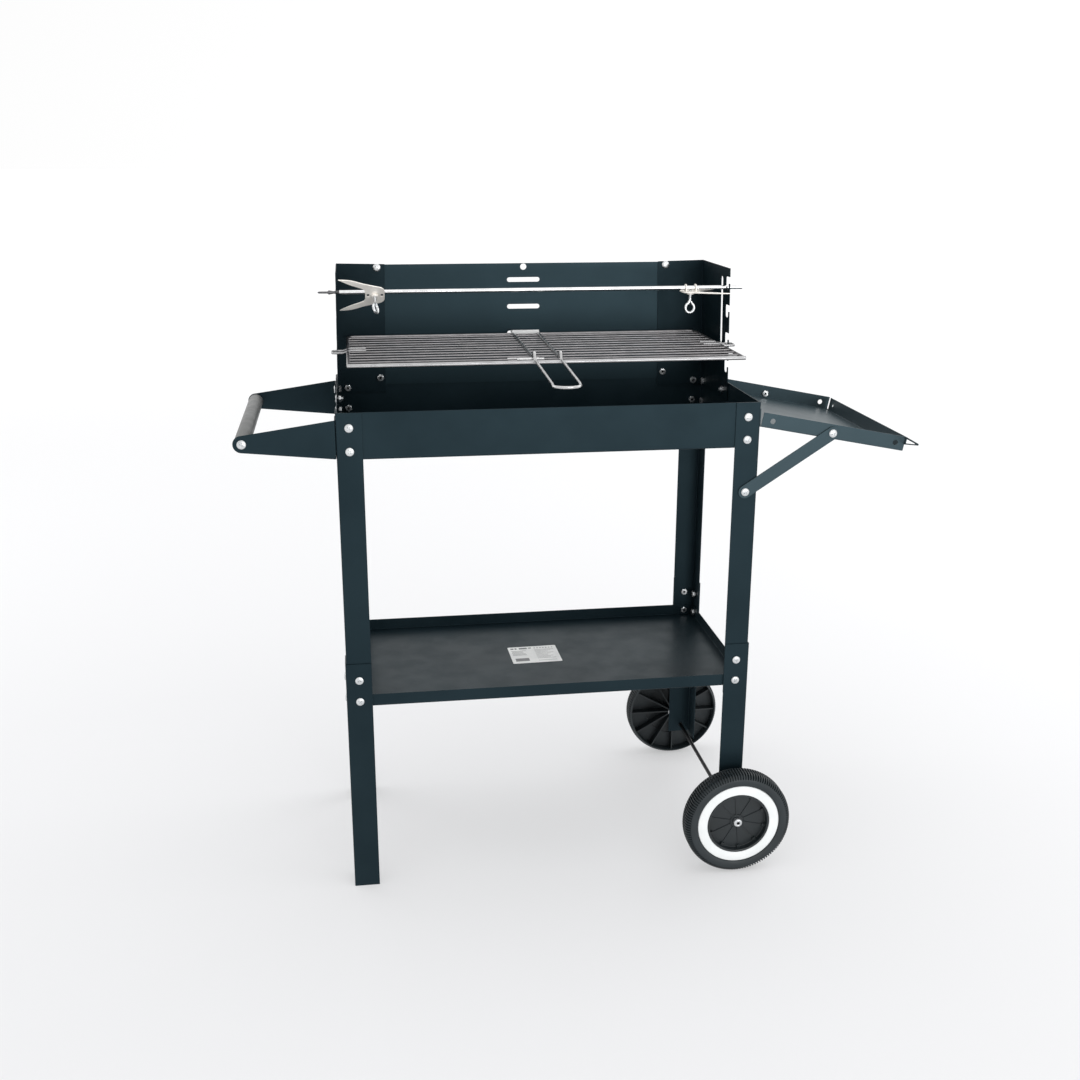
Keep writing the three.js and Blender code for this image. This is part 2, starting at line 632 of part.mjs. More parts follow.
const wheelSets = [
  { label: "front", y: FRONT_WHEEL_FACE_Y, turn: 0 },
  { label: "rear", y: REAR_WHEEL_FACE_Y, turn: Math.PI },
];

function wheelSet({ label, y, turn }) {
  const set = new THREE.Group();
  set.add(wheel(label), wheelRing(label), axleCap(label));
  set.position.set(AXLE_X, y, AXLE_Z);
  set.rotation.z = turn;
  return set;
}

// ---- spit, forks and their eye screws ----
const SPIT_LEFT = -319;
const SPIT_RIGHT = 316;
const FORK_BORE = SPIT_RADIUS + 0.35;
const FORK_SHEET = 1.5;
const FORK_PLATE_Z = -5;                  // inner face of the plate, below the spit's axis
const FORK_LENGTH = 28;                   // of the plate, without its prongs
const CHEEK_X = [-6.5, -21.5];            // two cheeks bent up from the plate hold the spit
const CHEEK_HALF_WIDTH = 6.5;
const CHEEK_TOP = 5.5;
const WINDOW_LENGTH = 3.6;                // left in the plate outside each cheek
const WINDOW_HALF_WIDTH = 2.6;
const NUT_BOSS_RADIUS = 5;
const NUT_BOSS_DEPTH = 3.5;
const SCREW_RADIUS = 2;
const EYE_DROP = 30.5;                    // spit axis to the middle of the eye
const EYE_RADIUS = 6.6;
const EYE_WIRE = 1.9;

function spitRod() {
  const profile = [
    [0, SPIT_LEFT],
    [1.6, SPIT_LEFT + 2],
    [1.6, SPIT_LEFT + 14],
    [2.6, SPIT_LEFT + 15],
    [SPIT_RADIUS, SPIT_LEFT + 22],
    [SPIT_RADIUS, SPIT_RIGHT - 1],
    [SPIT_RADIUS - 1, SPIT_RIGHT],
    [0, SPIT_RIGHT],
  ];
  const mesh = lathed("spit_rod", profile, 12, chrome);
  mesh.position.set(0, SPIT_Y, SPIT_Z);
  mesh.rotation.z = -Math.PI / 2;
  return mesh;
}

// The stamped plate: a short body that spreads into two pointed prongs towards -X.
function forkOutline() {
  const half = [[0, 11], [-3, 16], [-30, 25], [-47, 32.5], [-66, 34.5], [-47, 22], [-32, 15],
    [-FORK_LENGTH, 10]];
  const mirrored = half.map(([x, y]) => [x, -y]).reverse();
  return new THREE.Shape(polygon([...half, ...mirrored]));
}

// The fork lies under the spit's axis with its screw pointing down.
function forkSolid() {
  const outerZ = FORK_PLATE_Z - FORK_SHEET;
  const plate = extrude(forkOutline(), FORK_SHEET);
  plate.translate(0, 0, outerZ);
  const cheeks = CHEEK_X.map((x) => block(x - FORK_SHEET / 2, x + FORK_SHEET / 2,
    -CHEEK_HALF_WIDTH, CHEEK_HALF_WIDTH, outerZ + 0.5, CHEEK_TOP));
  const middle = -FORK_LENGTH / 2;
  const boss = bar([middle, 0, outerZ - NUT_BOSS_DEPTH], [middle, 0, outerZ + 0.5], NUT_BOSS_RADIUS, 12);
  const windows = CHEEK_X.map((x) => {
    const outwards = Math.sign(x - middle);
    const near = x + outwards * FORK_SHEET / 2;
    const far = near + outwards * WINDOW_LENGTH;
    return block(Math.min(near, far), Math.max(near, far), -WINDOW_HALF_WIDTH, WINDOW_HALF_WIDTH,
      outerZ - 1, FORK_PLATE_Z + 1);
  });
  const bore = bar([-FORK_LENGTH - 10, 0, 0], [10, 0, 0], FORK_BORE, 12);
  const screwHole = bar([middle, 0, -20], [middle, 0, 0], SCREW_RADIUS + 0.4);
  return without(union([toSolid(plate), ...cheeks, boss]), [...windows, bore, screwHole]);
}

// The screw's shank ends in a ring.
function eyeScrewSolid(eyeTurn) {
  const shankTop = -SPIT_RADIUS - GAP;
  const shank = bar([0, 0, -EYE_DROP + EYE_RADIUS], [0, 0, shankTop], SCREW_RADIUS, 8);
  const ring = new THREE.TorusGeometry(EYE_RADIUS, EYE_WIRE, 6, 16);
  ring.rotateX(Math.PI / 2);
  ring.rotateZ(eyeTurn);
  ring.translate(0, 0, -EYE_DROP);
  return toSolid(ring).add(shank);
}

// "roll" turns a fork about the spit from where its screw hangs straight down.
const forks = [
  { label: "left", x: -223, flip: 0, roll: THREE.MathUtils.degToRad(-45), eyeTurn: Math.PI / 2 },
  { label: "right", x: 221, flip: Math.PI, roll: 0, eyeTurn: 0 },
];

function forkSet({ label, x, flip, roll, eyeTurn }) {
  const set = new THREE.Group();
  const fork = toMesh(`fork_${label}`, forkSolid(), chrome);
  const screw = toMesh(`fork_screw_${label}`, eyeScrewSolid(eyeTurn), zinc);
  screw.position.x = -FORK_LENGTH / 2;
  set.add(fork, screw);
  set.position.set(x, SPIT_Y, SPIT_Z);
  set.rotation.set(roll, 0, flip);
  return set;
}

// ---- grate ----
const HOOK_RADIUS = 1.75;
const GRATE_Z = GRATE_POCKET_Z + HOOK_RADIUS + 1.2;
const GRATE_X = 279;
const GRATE_FRONT_Y = 24;
const GRATE_REAR_Y = 299;
const FRAME_RADIUS = 2.5;
const FRAME_CORNER = 14;
const FRONT_RADIUS = 3;
const FINE_RADIUS = 1.4;
const FINE_COUNT = 11;
const HOOK_X = 302;
const HOOK_REAR_Y = SPIT_Y;
const HOOK_FRONT_Y = SHIELD_FRONT_Y - 9;
const HOOK_CORNER = 3;
const LIFT_X = 22;                        // half the distance between the lifting handle's wires
const LIFT_FRONT_Y = -105;
const LIFT_DROP = 16;
const LIFT_RADIUS = 2;
const LIFT_CORNER = 12;
const TAB_SHEET = 1.5;
const TAB_FRONT_Y = GRATE_REAR_Y - 14;
const TAB_LIP = 6;                        // turned up along the tab's front edge
const TAB_REAR_Y = DEPTH + 1;             // the tab reaches through a slot in the back panel

function chain(points, radius, sides = 6) {
  const pieces = [];
  for (let i = 1; i < points.length; i += 1) {
    pieces.push(bar(points[i - 1], points[i], radius, sides));
    if (i < points.length - 1) {
      const joint = new THREE.SphereGeometry(radius, sides, 4);
      joint.translate(...points[i]);
      pieces.push(toSolid(joint));
    }
  }
  return union(pieces);
}

function grate() {
  const z = GRATE_Z;
  const frame = chain([
    [-GRATE_X, GRATE_FRONT_Y, z],
    [-GRATE_X, GRATE_REAR_Y - FRAME_CORNER, z],
    [-GRATE_X + FRAME_CORNER, GRATE_REAR_Y, z],
    [GRATE_X - FRAME_CORNER, GRATE_REAR_Y, z],
    [GRATE_X, GRATE_REAR_Y - FRAME_CORNER, z],
    [GRATE_X, GRATE_FRONT_Y, z],
  ], FRAME_RADIUS);
  const front = bar([-GRATE_X - 2, GRATE_FRONT_Y, z], [GRATE_X + 2, GRATE_FRONT_Y, z],
    FRONT_RADIUS, 8);
  const pieces = [frame, front];
  const step = (GRATE_REAR_Y - GRATE_FRONT_Y) / (FINE_COUNT + 1);
  for (let i = 1; i <= FINE_COUNT; i += 1) {
    const y = GRATE_FRONT_Y + i * step;
    pieces.push(bar([-GRATE_X, y, z], [GRATE_X, y, z], FINE_RADIUS, 4));
  }
  const hookZ = GRATE_POCKET_Z + HOOK_RADIUS + GAP;
  for (const side of SIDES) {
    const inner = side.sign * (GRATE_X - 8);
    const outer = side.sign * HOOK_X;
    pieces.push(chain([
      [inner, HOOK_REAR_Y, hookZ],
      [outer - side.sign * HOOK_CORNER, HOOK_REAR_Y, hookZ],
      [outer, HOOK_REAR_Y - HOOK_CORNER, hookZ],
      [outer, HOOK_FRONT_Y + HOOK_CORNER, hookZ],
      [outer - side.sign * HOOK_CORNER, HOOK_FRONT_Y, hookZ],
      [inner, HOOK_FRONT_Y, hookZ],
    ], HOOK_RADIUS));
  }
  const liftZ = z + FINE_RADIUS + LIFT_RADIUS - 0.5;
  pieces.push(chain([
    [-LIFT_X, GRATE_REAR_Y - 1, liftZ],
    [-LIFT_X, GRATE_FRONT_Y, liftZ],
    [-LIFT_X, LIFT_FRONT_Y + LIFT_CORNER, liftZ - LIFT_DROP],
    [-LIFT_X + LIFT_CORNER, LIFT_FRONT_Y, liftZ - LIFT_DROP],
    [LIFT_X - LIFT_CORNER, LIFT_FRONT_Y, liftZ - LIFT_DROP],
    [LIFT_X, LIFT_FRONT_Y + LIFT_CORNER, liftZ - LIFT_DROP],
    [LIFT_X, GRATE_FRONT_Y, liftZ],
    [LIFT_X, GRATE_REAR_Y - 1, liftZ],
  ], LIFT_RADIUS));
  const tabX = LIFT_X + 1;
  const tabZ = liftZ - TAB_SHEET / 2;
  pieces.push(block(-tabX, tabX, TAB_FRONT_Y, TAB_REAR_Y, tabZ, tabZ + TAB_SHEET));
  pieces.push(block(-tabX, tabX, TAB_FRONT_Y, TAB_FRONT_Y + TAB_SHEET, tabZ, tabZ + TAB_LIP));
  return toMesh("grate", union(pieces), chrome);
}

// ---- assembly ----
// The frame's origin lies on the floor, under the middle of the object's bounding box.
const LEFT_END = HANDLE_X - BRACKET_END_RADIUS;
const TRAY_REACH = TRAY_LENGTH * Math.cos(TRAY_SLOPE) + TRAY_RIM * Math.sin(TRAY_SLOPE);
const RIGHT_END = TRAY_X + SHEET + TRAY_REACH;
const FRONT_END = LIFT_FRONT_Y - LIFT_RADIUS;

const roaster = new THREE.Group();
for (const face of FACES) {
  for (const side of SIDES) {
    roaster.add(upperLeg(side, face), lowerLeg(side, face));
  }
}
roaster.add(fireBox(), lowerShelf(), windshieldBack(), ...SIDES.map(windshieldSide));
roaster.add(...FACES.map(handleBracket), handleGrip(), ...FACES.map(handleScrew));
roaster.add(sideTray(), ...FACES.map(trayBrace));
roaster.add(axle(), ...wheelSets.map(wheelSet));
roaster.add(spitRod(), ...forks.map(forkSet), grate());
roaster.add(...allBolts.map(boltMesh));
roaster.position.set(-(LEFT_END + RIGHT_END) / 2, -(FRONT_END + REAR_WHEEL_FACE_Y) / 2, 0);

export default roaster;
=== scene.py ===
"""Looks of a trolley charcoal roaster with a spit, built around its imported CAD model.

The object's sizes are in millimetres and become metres in at(), size() and mm(). Its places are
measured from the middle of the fire box (x), the front of the legs (y) and the floor (z), and
at() puts them in the model's own frame. The floor and the lights are in metres in that frame.
"""

import json
import math
import random

import bmesh
import bpy
from mathutils import Matrix, Vector

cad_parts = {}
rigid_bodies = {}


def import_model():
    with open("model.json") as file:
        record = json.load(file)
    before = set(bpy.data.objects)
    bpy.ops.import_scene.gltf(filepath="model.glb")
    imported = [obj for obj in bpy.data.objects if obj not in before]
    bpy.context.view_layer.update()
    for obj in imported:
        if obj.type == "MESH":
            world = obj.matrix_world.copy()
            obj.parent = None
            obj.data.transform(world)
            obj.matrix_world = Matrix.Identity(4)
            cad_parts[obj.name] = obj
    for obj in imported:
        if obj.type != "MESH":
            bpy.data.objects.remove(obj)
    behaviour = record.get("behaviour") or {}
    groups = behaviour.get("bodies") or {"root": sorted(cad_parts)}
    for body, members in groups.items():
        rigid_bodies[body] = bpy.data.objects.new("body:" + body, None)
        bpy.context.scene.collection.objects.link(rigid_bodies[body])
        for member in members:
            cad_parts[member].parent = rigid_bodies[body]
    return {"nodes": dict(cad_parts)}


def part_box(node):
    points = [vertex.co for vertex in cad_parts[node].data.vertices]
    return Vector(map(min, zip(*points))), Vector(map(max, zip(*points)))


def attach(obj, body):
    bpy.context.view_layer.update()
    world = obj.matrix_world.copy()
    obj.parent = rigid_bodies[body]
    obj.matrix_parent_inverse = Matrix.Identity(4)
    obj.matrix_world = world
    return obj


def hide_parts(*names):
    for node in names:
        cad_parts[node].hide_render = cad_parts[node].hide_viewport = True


for leftover in list(bpy.data.objects):
    bpy.data.objects.remove(leftover)
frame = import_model()
bpy.context.view_layer.update()
scene = bpy.context.scene
scatter = random.Random(11)

X, Y = Vector((1, 0, 0)), Vector((0, 1, 0))

# ---- sheets, and places taken from the frame ----
SHEET = 1.0
LEG_SHEET = 1.2
GAP = 0.3
FIRE_BOX_LOW, FIRE_BOX_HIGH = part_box("firebox")
MIDDLE_X = (FIRE_BOX_LOW.x + FIRE_BOX_HIGH.x) / 2
FRONT_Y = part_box("upper_leg_front_left")[0].y
DEPTH = (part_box("upper_leg_rear_left")[1].y - FRONT_Y) * 1000
LEG_X = (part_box("upper_leg_front_right")[1].x - MIDDLE_X) * 1000
SHELF_TOP_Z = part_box("lower_shelf")[0].z * 1000 + SHEET


def mm(value):
    return value / 1000


def size(*values):
    return Vector([mm(value) for value in values])


def at(x, y, z):
    return Vector((MIDDLE_X + mm(x), FRONT_Y + mm(y), mm(z)))


# ---- camera ----
CAMERA_PLACE = at(-274.6, -1721.8, 1080.8)
CAMERA_YAW = math.radians(8.48)
CAMERA_PITCH = math.radians(17.25)
CAMERA_ROLL = math.radians(0.17)
CAMERA_LENS = 42.42
SENSOR_WIDTH = 36


def make_camera():
    data = bpy.data.cameras.new("camera")
    data.sensor_width = SENSOR_WIDTH
    data.lens = CAMERA_LENS
    camera = bpy.data.objects.new("camera", data)
    scene.collection.objects.link(camera)
    turn = Matrix.Rotation(-CAMERA_YAW, 4, "Z")
    tip = Matrix.Rotation(math.pi / 2 - CAMERA_PITCH, 4, "X")
    roll = Matrix.Rotation(CAMERA_ROLL, 4, "Z")
    camera.matrix_world = Matrix.Translation(CAMERA_PLACE) @ turn @ tip @ roll
    scene.camera = camera


make_camera()


# ---- materials ----
class Surface:
    """A principled material with short calls for the nodes that give it its detail."""

    def __init__(self, name, color, roughness, metallic=0.0):
        self.material = bpy.data.materials.new(name)
        self.material.use_nodes = True
        self.nodes = self.material.node_tree.nodes
        self.links = self.material.node_tree.links
        self.shader = self.nodes["Principled BSDF"]
        self.shader.inputs["Base Color"].default_value = (*color, 1)
        self.shader.inputs["Roughness"].default_value = roughness
        self.shader.inputs["Metallic"].default_value = metallic
        self.place = self.nodes.new("ShaderNodeTexCoord").outputs["Object"]

    def noise(self, scale, detail=4.0, stretch=(1, 1, 1)):
        """Noise over the object, with its grain per metre."""
        mapping = self.nodes.new("ShaderNodeMapping")
        mapping.inputs["Scale"].default_value = stretch
        self.links.new(self.place, mapping.inputs["Vector"])
        texture = self.nodes.new("ShaderNodeTexNoise")
        texture.inputs["Scale"].default_value = scale
        texture.inputs["Detail"].default_value = detail
        self.links.new(mapping.outputs["Vector"], texture.inputs["Vector"])
        return texture.outputs["Fac"]

    def spread(self, value, low, high, span=(0.35, 0.65)):
        """Maps a value's span, such as a noise's middle range, to low and high."""
        ramp = self.nodes.new("ShaderNodeMapRange")
        ramp.inputs["From Min"].default_value = span[0]
        ramp.inputs["From Max"].default_value = span[1]
        ramp.inputs["To Min"].default_value = low
        ramp.inputs["To Max"].default_value = high
        self.links.new(value, ramp.inputs["Value"])
        return ramp.outputs["Result"]

    def color_between(self, value, one, other):
        mix = self.nodes.new("ShaderNodeMix")
        mix.data_type = "RGBA"
        mix.inputs["A"].default_value = (*one, 1)
        mix.inputs["B"].default_value = (*other, 1)
        self.links.new(value, mix.inputs["Factor"])
        self.links.new(mix.outputs["Result"], self.shader.inputs["Base Color"])

    def roughness_from(self, value):
        self.links.new(value, self.shader.inputs["Roughness"])

    def bump(self, value, strength, distance):
        """Adds a bump of a depth in mm on top of those the material has."""
        bump = self.nodes.new("ShaderNodeBump")
        bump.inputs["Strength"].default_value = strength
        bump.inputs["Distance"].default_value = mm(distance)
        self.links.new(value, bump.inputs["Height"])
        before = self.shader.inputs["Normal"].links
        if before:
            self.links.new(before[0].from_socket, bump.inputs["Normal"])
        self.links.new(bump.outputs["Normal"], self.shader.inputs["Normal"])


PAINT_GLOSS_COLOR = (0.52, 0.84, 1.0)


def paint(name, dark, light, rough, gloss=0.27, patchy=1.0):
    """Satin powder paint: a fine pebbled skin, a little uneven in tone and gloss."""
    made = Surface(name, dark, 0.4)
    made.color_between(made.spread(made.noise(9, 6), 0, 1), dark, light)
    uneven = made.spread(made.noise(26, 5), rough - 0.04 * patchy, rough + 0.05 * patchy)
    made.roughness_from(uneven)
    made.bump(made.noise(1100, 2), 0.12, 0.05)
    made.bump(made.noise(240, 3), 0.05, 0.10)
    made.shader.inputs["Specular IOR Level"].default_value = gloss
    made.shader.inputs["Specular Tint"].default_value = (*PAINT_GLOSS_COLOR, 1)
    return made.material


def moulded_plastic(name, dark, light, rough):
    """Plastic with the fine grain of its mould."""
    made = Surface(name, dark, rough)
    made.color_between(made.spread(made.noise(30, 5), 0, 1), dark, light)
    made.roughness_from(made.spread(made.noise(60, 4), rough - 0.06, rough + 0.08))
    made.bump(made.noise(1600, 2), 0.2, 0.03)
    return made.material


def plated(name, dark, light, rough, drawn=(1, 1, 1), metallic=1.0):
    """Plated metal with the fine lines of drawn wire or rolled sheet."""
    made = Surface(name, dark, rough, metallic)
    made.color_between(made.spread(made.noise(60, 3), 0, 1), dark, light)
    made.roughness_from(made.spread(made.noise(220, 3, drawn), rough - 0.03, rough + 0.05))
    made.bump(made.noise(1500, 2, drawn), 0.05, 0.008)
    return made.material


def label_film():
    """Pale glossy film that isn't quite flat."""
    made = Surface("label_film", (0.78, 0.79, 0.78), 0.35)
    made.color_between(made.spread(made.noise(40, 3), 0, 1), (0.72, 0.73, 0.73), (0.84, 0.85, 0.84))
    made.bump(made.noise(90, 2), 0.05, 0.1)
    return made.material


BLACK_PAINT = paint("black_paint", (0.0045, 0.0095, 0.0125), (0.0075, 0.0145, 0.0185), 0.40)
# Lit and shaded copies of the black paint: the windshield's back is a little lighter, as painted
# light, and its sides are darker, as painted shade.
LIT_BACK_PAINT = paint("back_paint_painted_light", (0.0062, 0.0126, 0.0158), (0.0073, 0.0144, 0.018), 0.38, 0.35, 0.3)
SHADED_SIDE_PAINT = paint("side_paint_painted_shade", (0.0032, 0.0072, 0.0098), (0.0055, 0.011, 0.014), 0.42, 0.21)
# A lighter slate copy of the paint for the side tray and its braces, standing in for the reflection
# they catch from the right: painted reflection.
LIT_TRAY_PAINT = paint("tray_paint", (0.031, 0.045, 0.051), (0.037, 0.052, 0.059), 0.36, 0.4, 0.4)
# The black grip's plastic is given a mid grey, which stands in for the broad highlight it catches from
# the upper left: painted highlight.
LIT_GRIP_PLASTIC = moulded_plastic("grip_plastic_painted_highlight", (0.105, 0.108, 0.107), (0.135, 0.138, 0.136), 0.46)
TYRE_PLASTIC = moulded_plastic("tyre_plastic", (0.007, 0.0125, 0.0155), (0.013, 0.0205, 0.0245), 0.5)
HUB_PLASTIC = moulded_plastic("hub_plastic", (0.006, 0.0105, 0.0125), (0.0105, 0.016, 0.019), 0.44)
RING_PLASTIC = moulded_plastic("ring_plastic", (0.80, 0.83, 0.83), (0.88, 0.90, 0.90), 0.38)
CHROME = plated("chrome", (0.66, 0.665, 0.67), (0.80, 0.805, 0.81), 0.17, (0.2, 1, 1))
# Copies of one plated wire in three tones: darkest for the grate's frame and fine wires as painted
# shade, lighter for its front wire and hooks and lightest for its lifting wires as painted highlight.
SHADED_WIRE_CHROME = plated("wire_chrome_painted_shade", (0.235, 0.23, 0.235), (0.295, 0.285, 0.29), 0.32, (0.2, 1, 1))
LIT_FRONT_CHROME = plated("front_chrome_painted_highlight", (0.36, 0.36, 0.365), (0.44, 0.44, 0.445), 0.3, (0.2, 1, 1))
LIT_LIFT_CHROME = plated("lift_chrome_painted_highlight", (0.52, 0.52, 0.52), (0.62, 0.62, 0.62), 0.27, (0.2, 1, 1))
TIP_STEEL = plated("tip_steel", (0.10, 0.10, 0.105), (0.17, 0.17, 0.175), 0.36, (0.2, 1, 1))
STAMPED = plated("stamped_zinc", (0.90, 0.865, 0.81), (0.97, 0.935, 0.88), 0.38, metallic=0.3)
ZINC = plated("zinc", (0.60, 0.62, 0.635), (0.74, 0.755, 0.76), 0.27, metallic=0.9)
TAB_STEEL = plated("tab_steel", (0.80, 0.81, 0.81), (0.87, 0.875, 0.87), 0.42, metallic=0.3)
DARK_STEEL = plated("dark_steel", (0.018, 0.018, 0.02), (0.03, 0.03, 0.032), 0.36, (1, 0.2, 1))
LABEL_FILM = label_film()
LABEL_INK = moulded_plastic("label_ink", (0.16, 0.165, 0.17), (0.24, 0.245, 0.25), 0.5)


# ---- shapes ----
SMOOTH_ANGLE = 35
CENTRE = 0.02                 # a turned profile starts and ends this close to its axis


class Shape:
    """Collects the vertices and faces of one piece, in metres."""

    def __init__(self):
        self.bm = bmesh.new()

    def rings(self, rings, close_ends=True, loop=False):
        """Joins rings of equal length into a skin. A loop joins the last ring to the first."""
        rows = [[self.bm.verts.new(point) for point in ring] for ring in rings]
        pairs = list(zip(rows, rows[1:]))
        if loop:
            pairs.append((rows[-1], rows[0]))
        count = len(rows[0])
        for row, following in pairs:
            for i in range(count):
                j = (i + 1) % count
                self.bm.faces.new((row[i], row[j], following[j], following[i]))
        if close_ends and not loop:
            self.bm.faces.new(list(reversed(rows[0])))
            self.bm.faces.new(rows[-1])
        return self

    def lathe(self, profile, place, segments=48, closed=False):
        """Turns (radius, height) points about place's own Z axis. A closed profile is a ring."""
        angles = [2 * math.pi * i / segments for i in range(segments)]
        turned = [[place @ size(r * math.cos(a), r * math.sin(a), h) for a in angles]
                  for r, h in profile]
        return self.rings(turned, loop=closed)

    def sweep(self, path, radius, sides=12):
        """A round wire along a path of points in metres."""
        return self.rings(wire_rings(path, radius, sides))

    def plate(self, outline, place, thickness):
        """An outline in place's own X and Y, given a thickness in mm along its Z."""
        below = [place @ size(x, y, 0) for x, y in outline]
        above = [place @ size(x, y, thickness) for x, y in outline]
        return self.rings([below, above])

    def block(self, low, high, place):
        """A box between two corners in mm, in place's own frame."""
        (x0, y0, z0), (x1, y1, z1) = low, high
        corners = [(x0, y0), (x1, y0), (x1, y1), (x0, y1)]
        return self.plate(corners, place @ Matrix.Translation(size(0, 0, z0)), z1 - z0)

    def finish(self, name, material, smooth=SMOOTH_ANGLE):
        """Makes the object, with edges sharp where its faces turn by more than an angle."""
        bmesh.ops.recalc_face_normals(self.bm, faces=self.bm.faces)
        mesh = bpy.data.meshes.new(name)
        self.bm.to_mesh(mesh)
        self.bm.free()
        mesh.materials.append(material)
        mesh.polygons.foreach_set("use_smooth", [True] * len(mesh.polygons))
        mesh.set_sharp_from_angle(angle=math.radians(smooth))
        made = bpy.data.objects.new(name, mesh)
        scene.collection.objects.link(made)
        return made


def wire_rings(path, radius, sides):
    """Rings of points round a path, carried along it without twisting."""
    rings = []
    tangent = (path[1] - path[0]).normalized()
    side = tangent.orthogonal().normalized()
    for i, point in enumerate(path):
        ahead = path[min(i + 1, len(path) - 1)] - path[max(i - 1, 0)]
        new_tangent = ahead.normalized()
        side = tangent.rotation_difference(new_tangent) @ side
        side = (side - new_tangent * side.dot(new_tangent)).normalized()
        up = new_tangent.cross(side)
        tangent = new_tangent
        angles = [2 * math.pi * k / sides for k in range(sides)]
        rings.append([point + (side * math.cos(a) + up * math.sin(a)) * mm(radius) for a in angles])
    return rings


def rounded(points, radius, steps=6):
    """A path through points (in metres) with each inner corner bent to a radius in mm."""
    path = [points[0]]
    for before, corner, after in zip(points, points[1:], points[2:]):
        back, on = (before - corner).normalized(), (after - corner).normalized()
        angle = back.angle(on)
        reach = min(mm(radius) / math.tan(angle / 2), (before - corner).length * 0.49,
                    (after - corner).length * 0.49)
        start, end = corner + back * reach, corner + on * reach
        for k in range(steps + 1):
            t = k / steps
            path.append(start * (1 - t) ** 2 + corner * 2 * t * (1 - t) + end * t ** 2)
    path.append(points[-1])
    return path


def cad_rod(node, axis):
    """Where a CAD rod starts along an axis, and its length in mm."""
    low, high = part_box(node)
    length = (high - low).dot(axis)
    return (low + high) / 2 - axis * length / 2, length * 1000


def axis_place(origin, axis, roll=0.0):
    """A frame at origin whose Z points along axis."""
    turn = Vector(axis).to_track_quat("Z", "Y").to_matrix().to_4x4()
    return Matrix.Translation(origin) @ turn @ Matrix.Rotation(roll, 4, "Z")


def cut_away(piece, cutter):
    """Takes the cutter's shape out of a piece, for good."""
    modifier = piece.modifiers.new("cut", "BOOLEAN")
    modifier.object = cutter
    modifier.solver = "EXACT"
    depsgraph = bpy.context.evaluated_depsgraph_get()
    mesh = bpy.data.meshes.new_from_object(piece.evaluated_get(depsgraph))
    piece.modifiers.clear()
    piece.data = mesh
    bpy.data.objects.remove(cutter)
    mesh.polygons.foreach_set("use_smooth", [True] * len(mesh.polygons))
    mesh.set_sharp_from_angle(angle=math.radians(SMOOTH_ANGLE))


def soften(piece, width):
    """Rounds a piece's sharp edges a little, as real sheet and moulded edges are."""
    bevel = piece.modifiers.new("edges", "BEVEL")
    bevel.width = mm(width)
    bevel.segments = 2
    bevel.limit_method = "ANGLE"
    bevel.angle_limit = math.radians(30)
    piece.modifiers.new("normals", "WEIGHTED_NORMAL")


def settle(piece, body, slot, *nodes):
    """Says what a piece rides on and which CAD nodes it stands for; its slot is not used."""
    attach(piece, body)
    if nodes:
        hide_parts(*nodes)


# ---- sheet parts that stay as the CAD has them ----
def plain_mesh_group():
    """Drops stored normals, joins doubled corners and shades smooth, before the edges are rounded."""
    group = bpy.data.node_groups.new("plain_mesh", "GeometryNodeTree")
    group.interface.new_socket("Geometry", in_out="INPUT", socket_type="NodeSocketGeometry")
    group.interface.new_socket("Geometry", in_out="OUTPUT", socket_type="NodeSocketGeometry")
    start = group.nodes.new("NodeGroupInput")
    bare = group.nodes.new("GeometryNodeRemoveAttribute")
    bare.inputs["Name"].default_value = "custom_normal"
    merge = group.nodes.new("GeometryNodeMergeByDistance")
    merge.inputs["Distance"].default_value = mm(0.004)
    smooth = group.nodes.new("GeometryNodeSetShadeSmooth")
    end = group.nodes.new("NodeGroupOutput")
    chain = [start, bare, merge, smooth, end]
    for before, after in zip(chain, chain[1:]):
        group.links.new(before.outputs[0], after.inputs[0])
    return group


PLAIN_MESH = plain_mesh_group()


def finish_painted_node(name, material, edge=0.3):
    """Paints a CAD sheet part and rounds its edges."""
    node = frame["nodes"][name]
    node.data.materials.clear()
    node.data.materials.append(material)
    clean = node.modifiers.new("plain", "NODES")
    clean.node_group = PLAIN_MESH
    flat = node.modifiers.new("flat", "DECIMATE")
    flat.decimate_type = "DISSOLVE"
    flat.angle_limit = math.radians(1)
    soften(node, edge)


for label in ("front_left", "front_right", "rear_left", "rear_right"):
    finish_painted_node(f"upper_leg_{label}", BLACK_PAINT)
    finish_painted_node(f"lower_leg_{label}", BLACK_PAINT)
for name in ("firebox", "lower_shelf", "handle_bracket_front", "handle_bracket_rear"):
    finish_painted_node(name, BLACK_PAINT)
# The windshield's back carries painted light in its paint's colour, and its sides carry painted shade.
finish_painted_node("windshield_back", LIT_BACK_PAINT)
for name in ("windshield_left", "windshield_right"):
    finish_painted_node(name, SHADED_SIDE_PAINT)
# The side tray and its braces get the paint that carries the painted reflection.
for name in ("tray_brace_front", "tray_brace_rear"):
    finish_painted_node(name, LIT_TRAY_PAINT, edge=0.45)
finish_painted_node("side_tray", LIT_TRAY_PAINT)

# ---- screws and nuts ----
HEAD_RADIUS = 6
HEAD_HEIGHT = 2.4
DOME_STEPS = 8
SHANK_RADIUS = 2.9
THREAD_DEPTH = 0.45
THREAD_PITCH = 0.85
NUT_ACROSS_FLATS = 9.6
NUT_HEIGHT = 4
NUT_STEPS = 48
NUT_CHAMFER = 1.04            # radius of its chamfered end, as a share of that of its flats
SEAT_GAP = 0.3                # between the last sheet and the nut
RECESS_ARM = 3.1
RECESS_HALF_WIDTH = 0.75
RECESS_TAPER = 0.55
head_meshes = {}


def cross_outline(arm, half):
    """A cross with arms of a length and a half width."""
    quarter = [(half, half), (half, arm), (-half, arm)]
    turned = []
    for k in range(4):
        c, s = math.cos(k * math.pi / 2), math.sin(k * math.pi / 2)
        turned += [(c * x - s * y, s * x + c * y) for x, y in quarter[1:]]
        turned.append((c * -half - s * half, s * -half + c * half))
    return turned


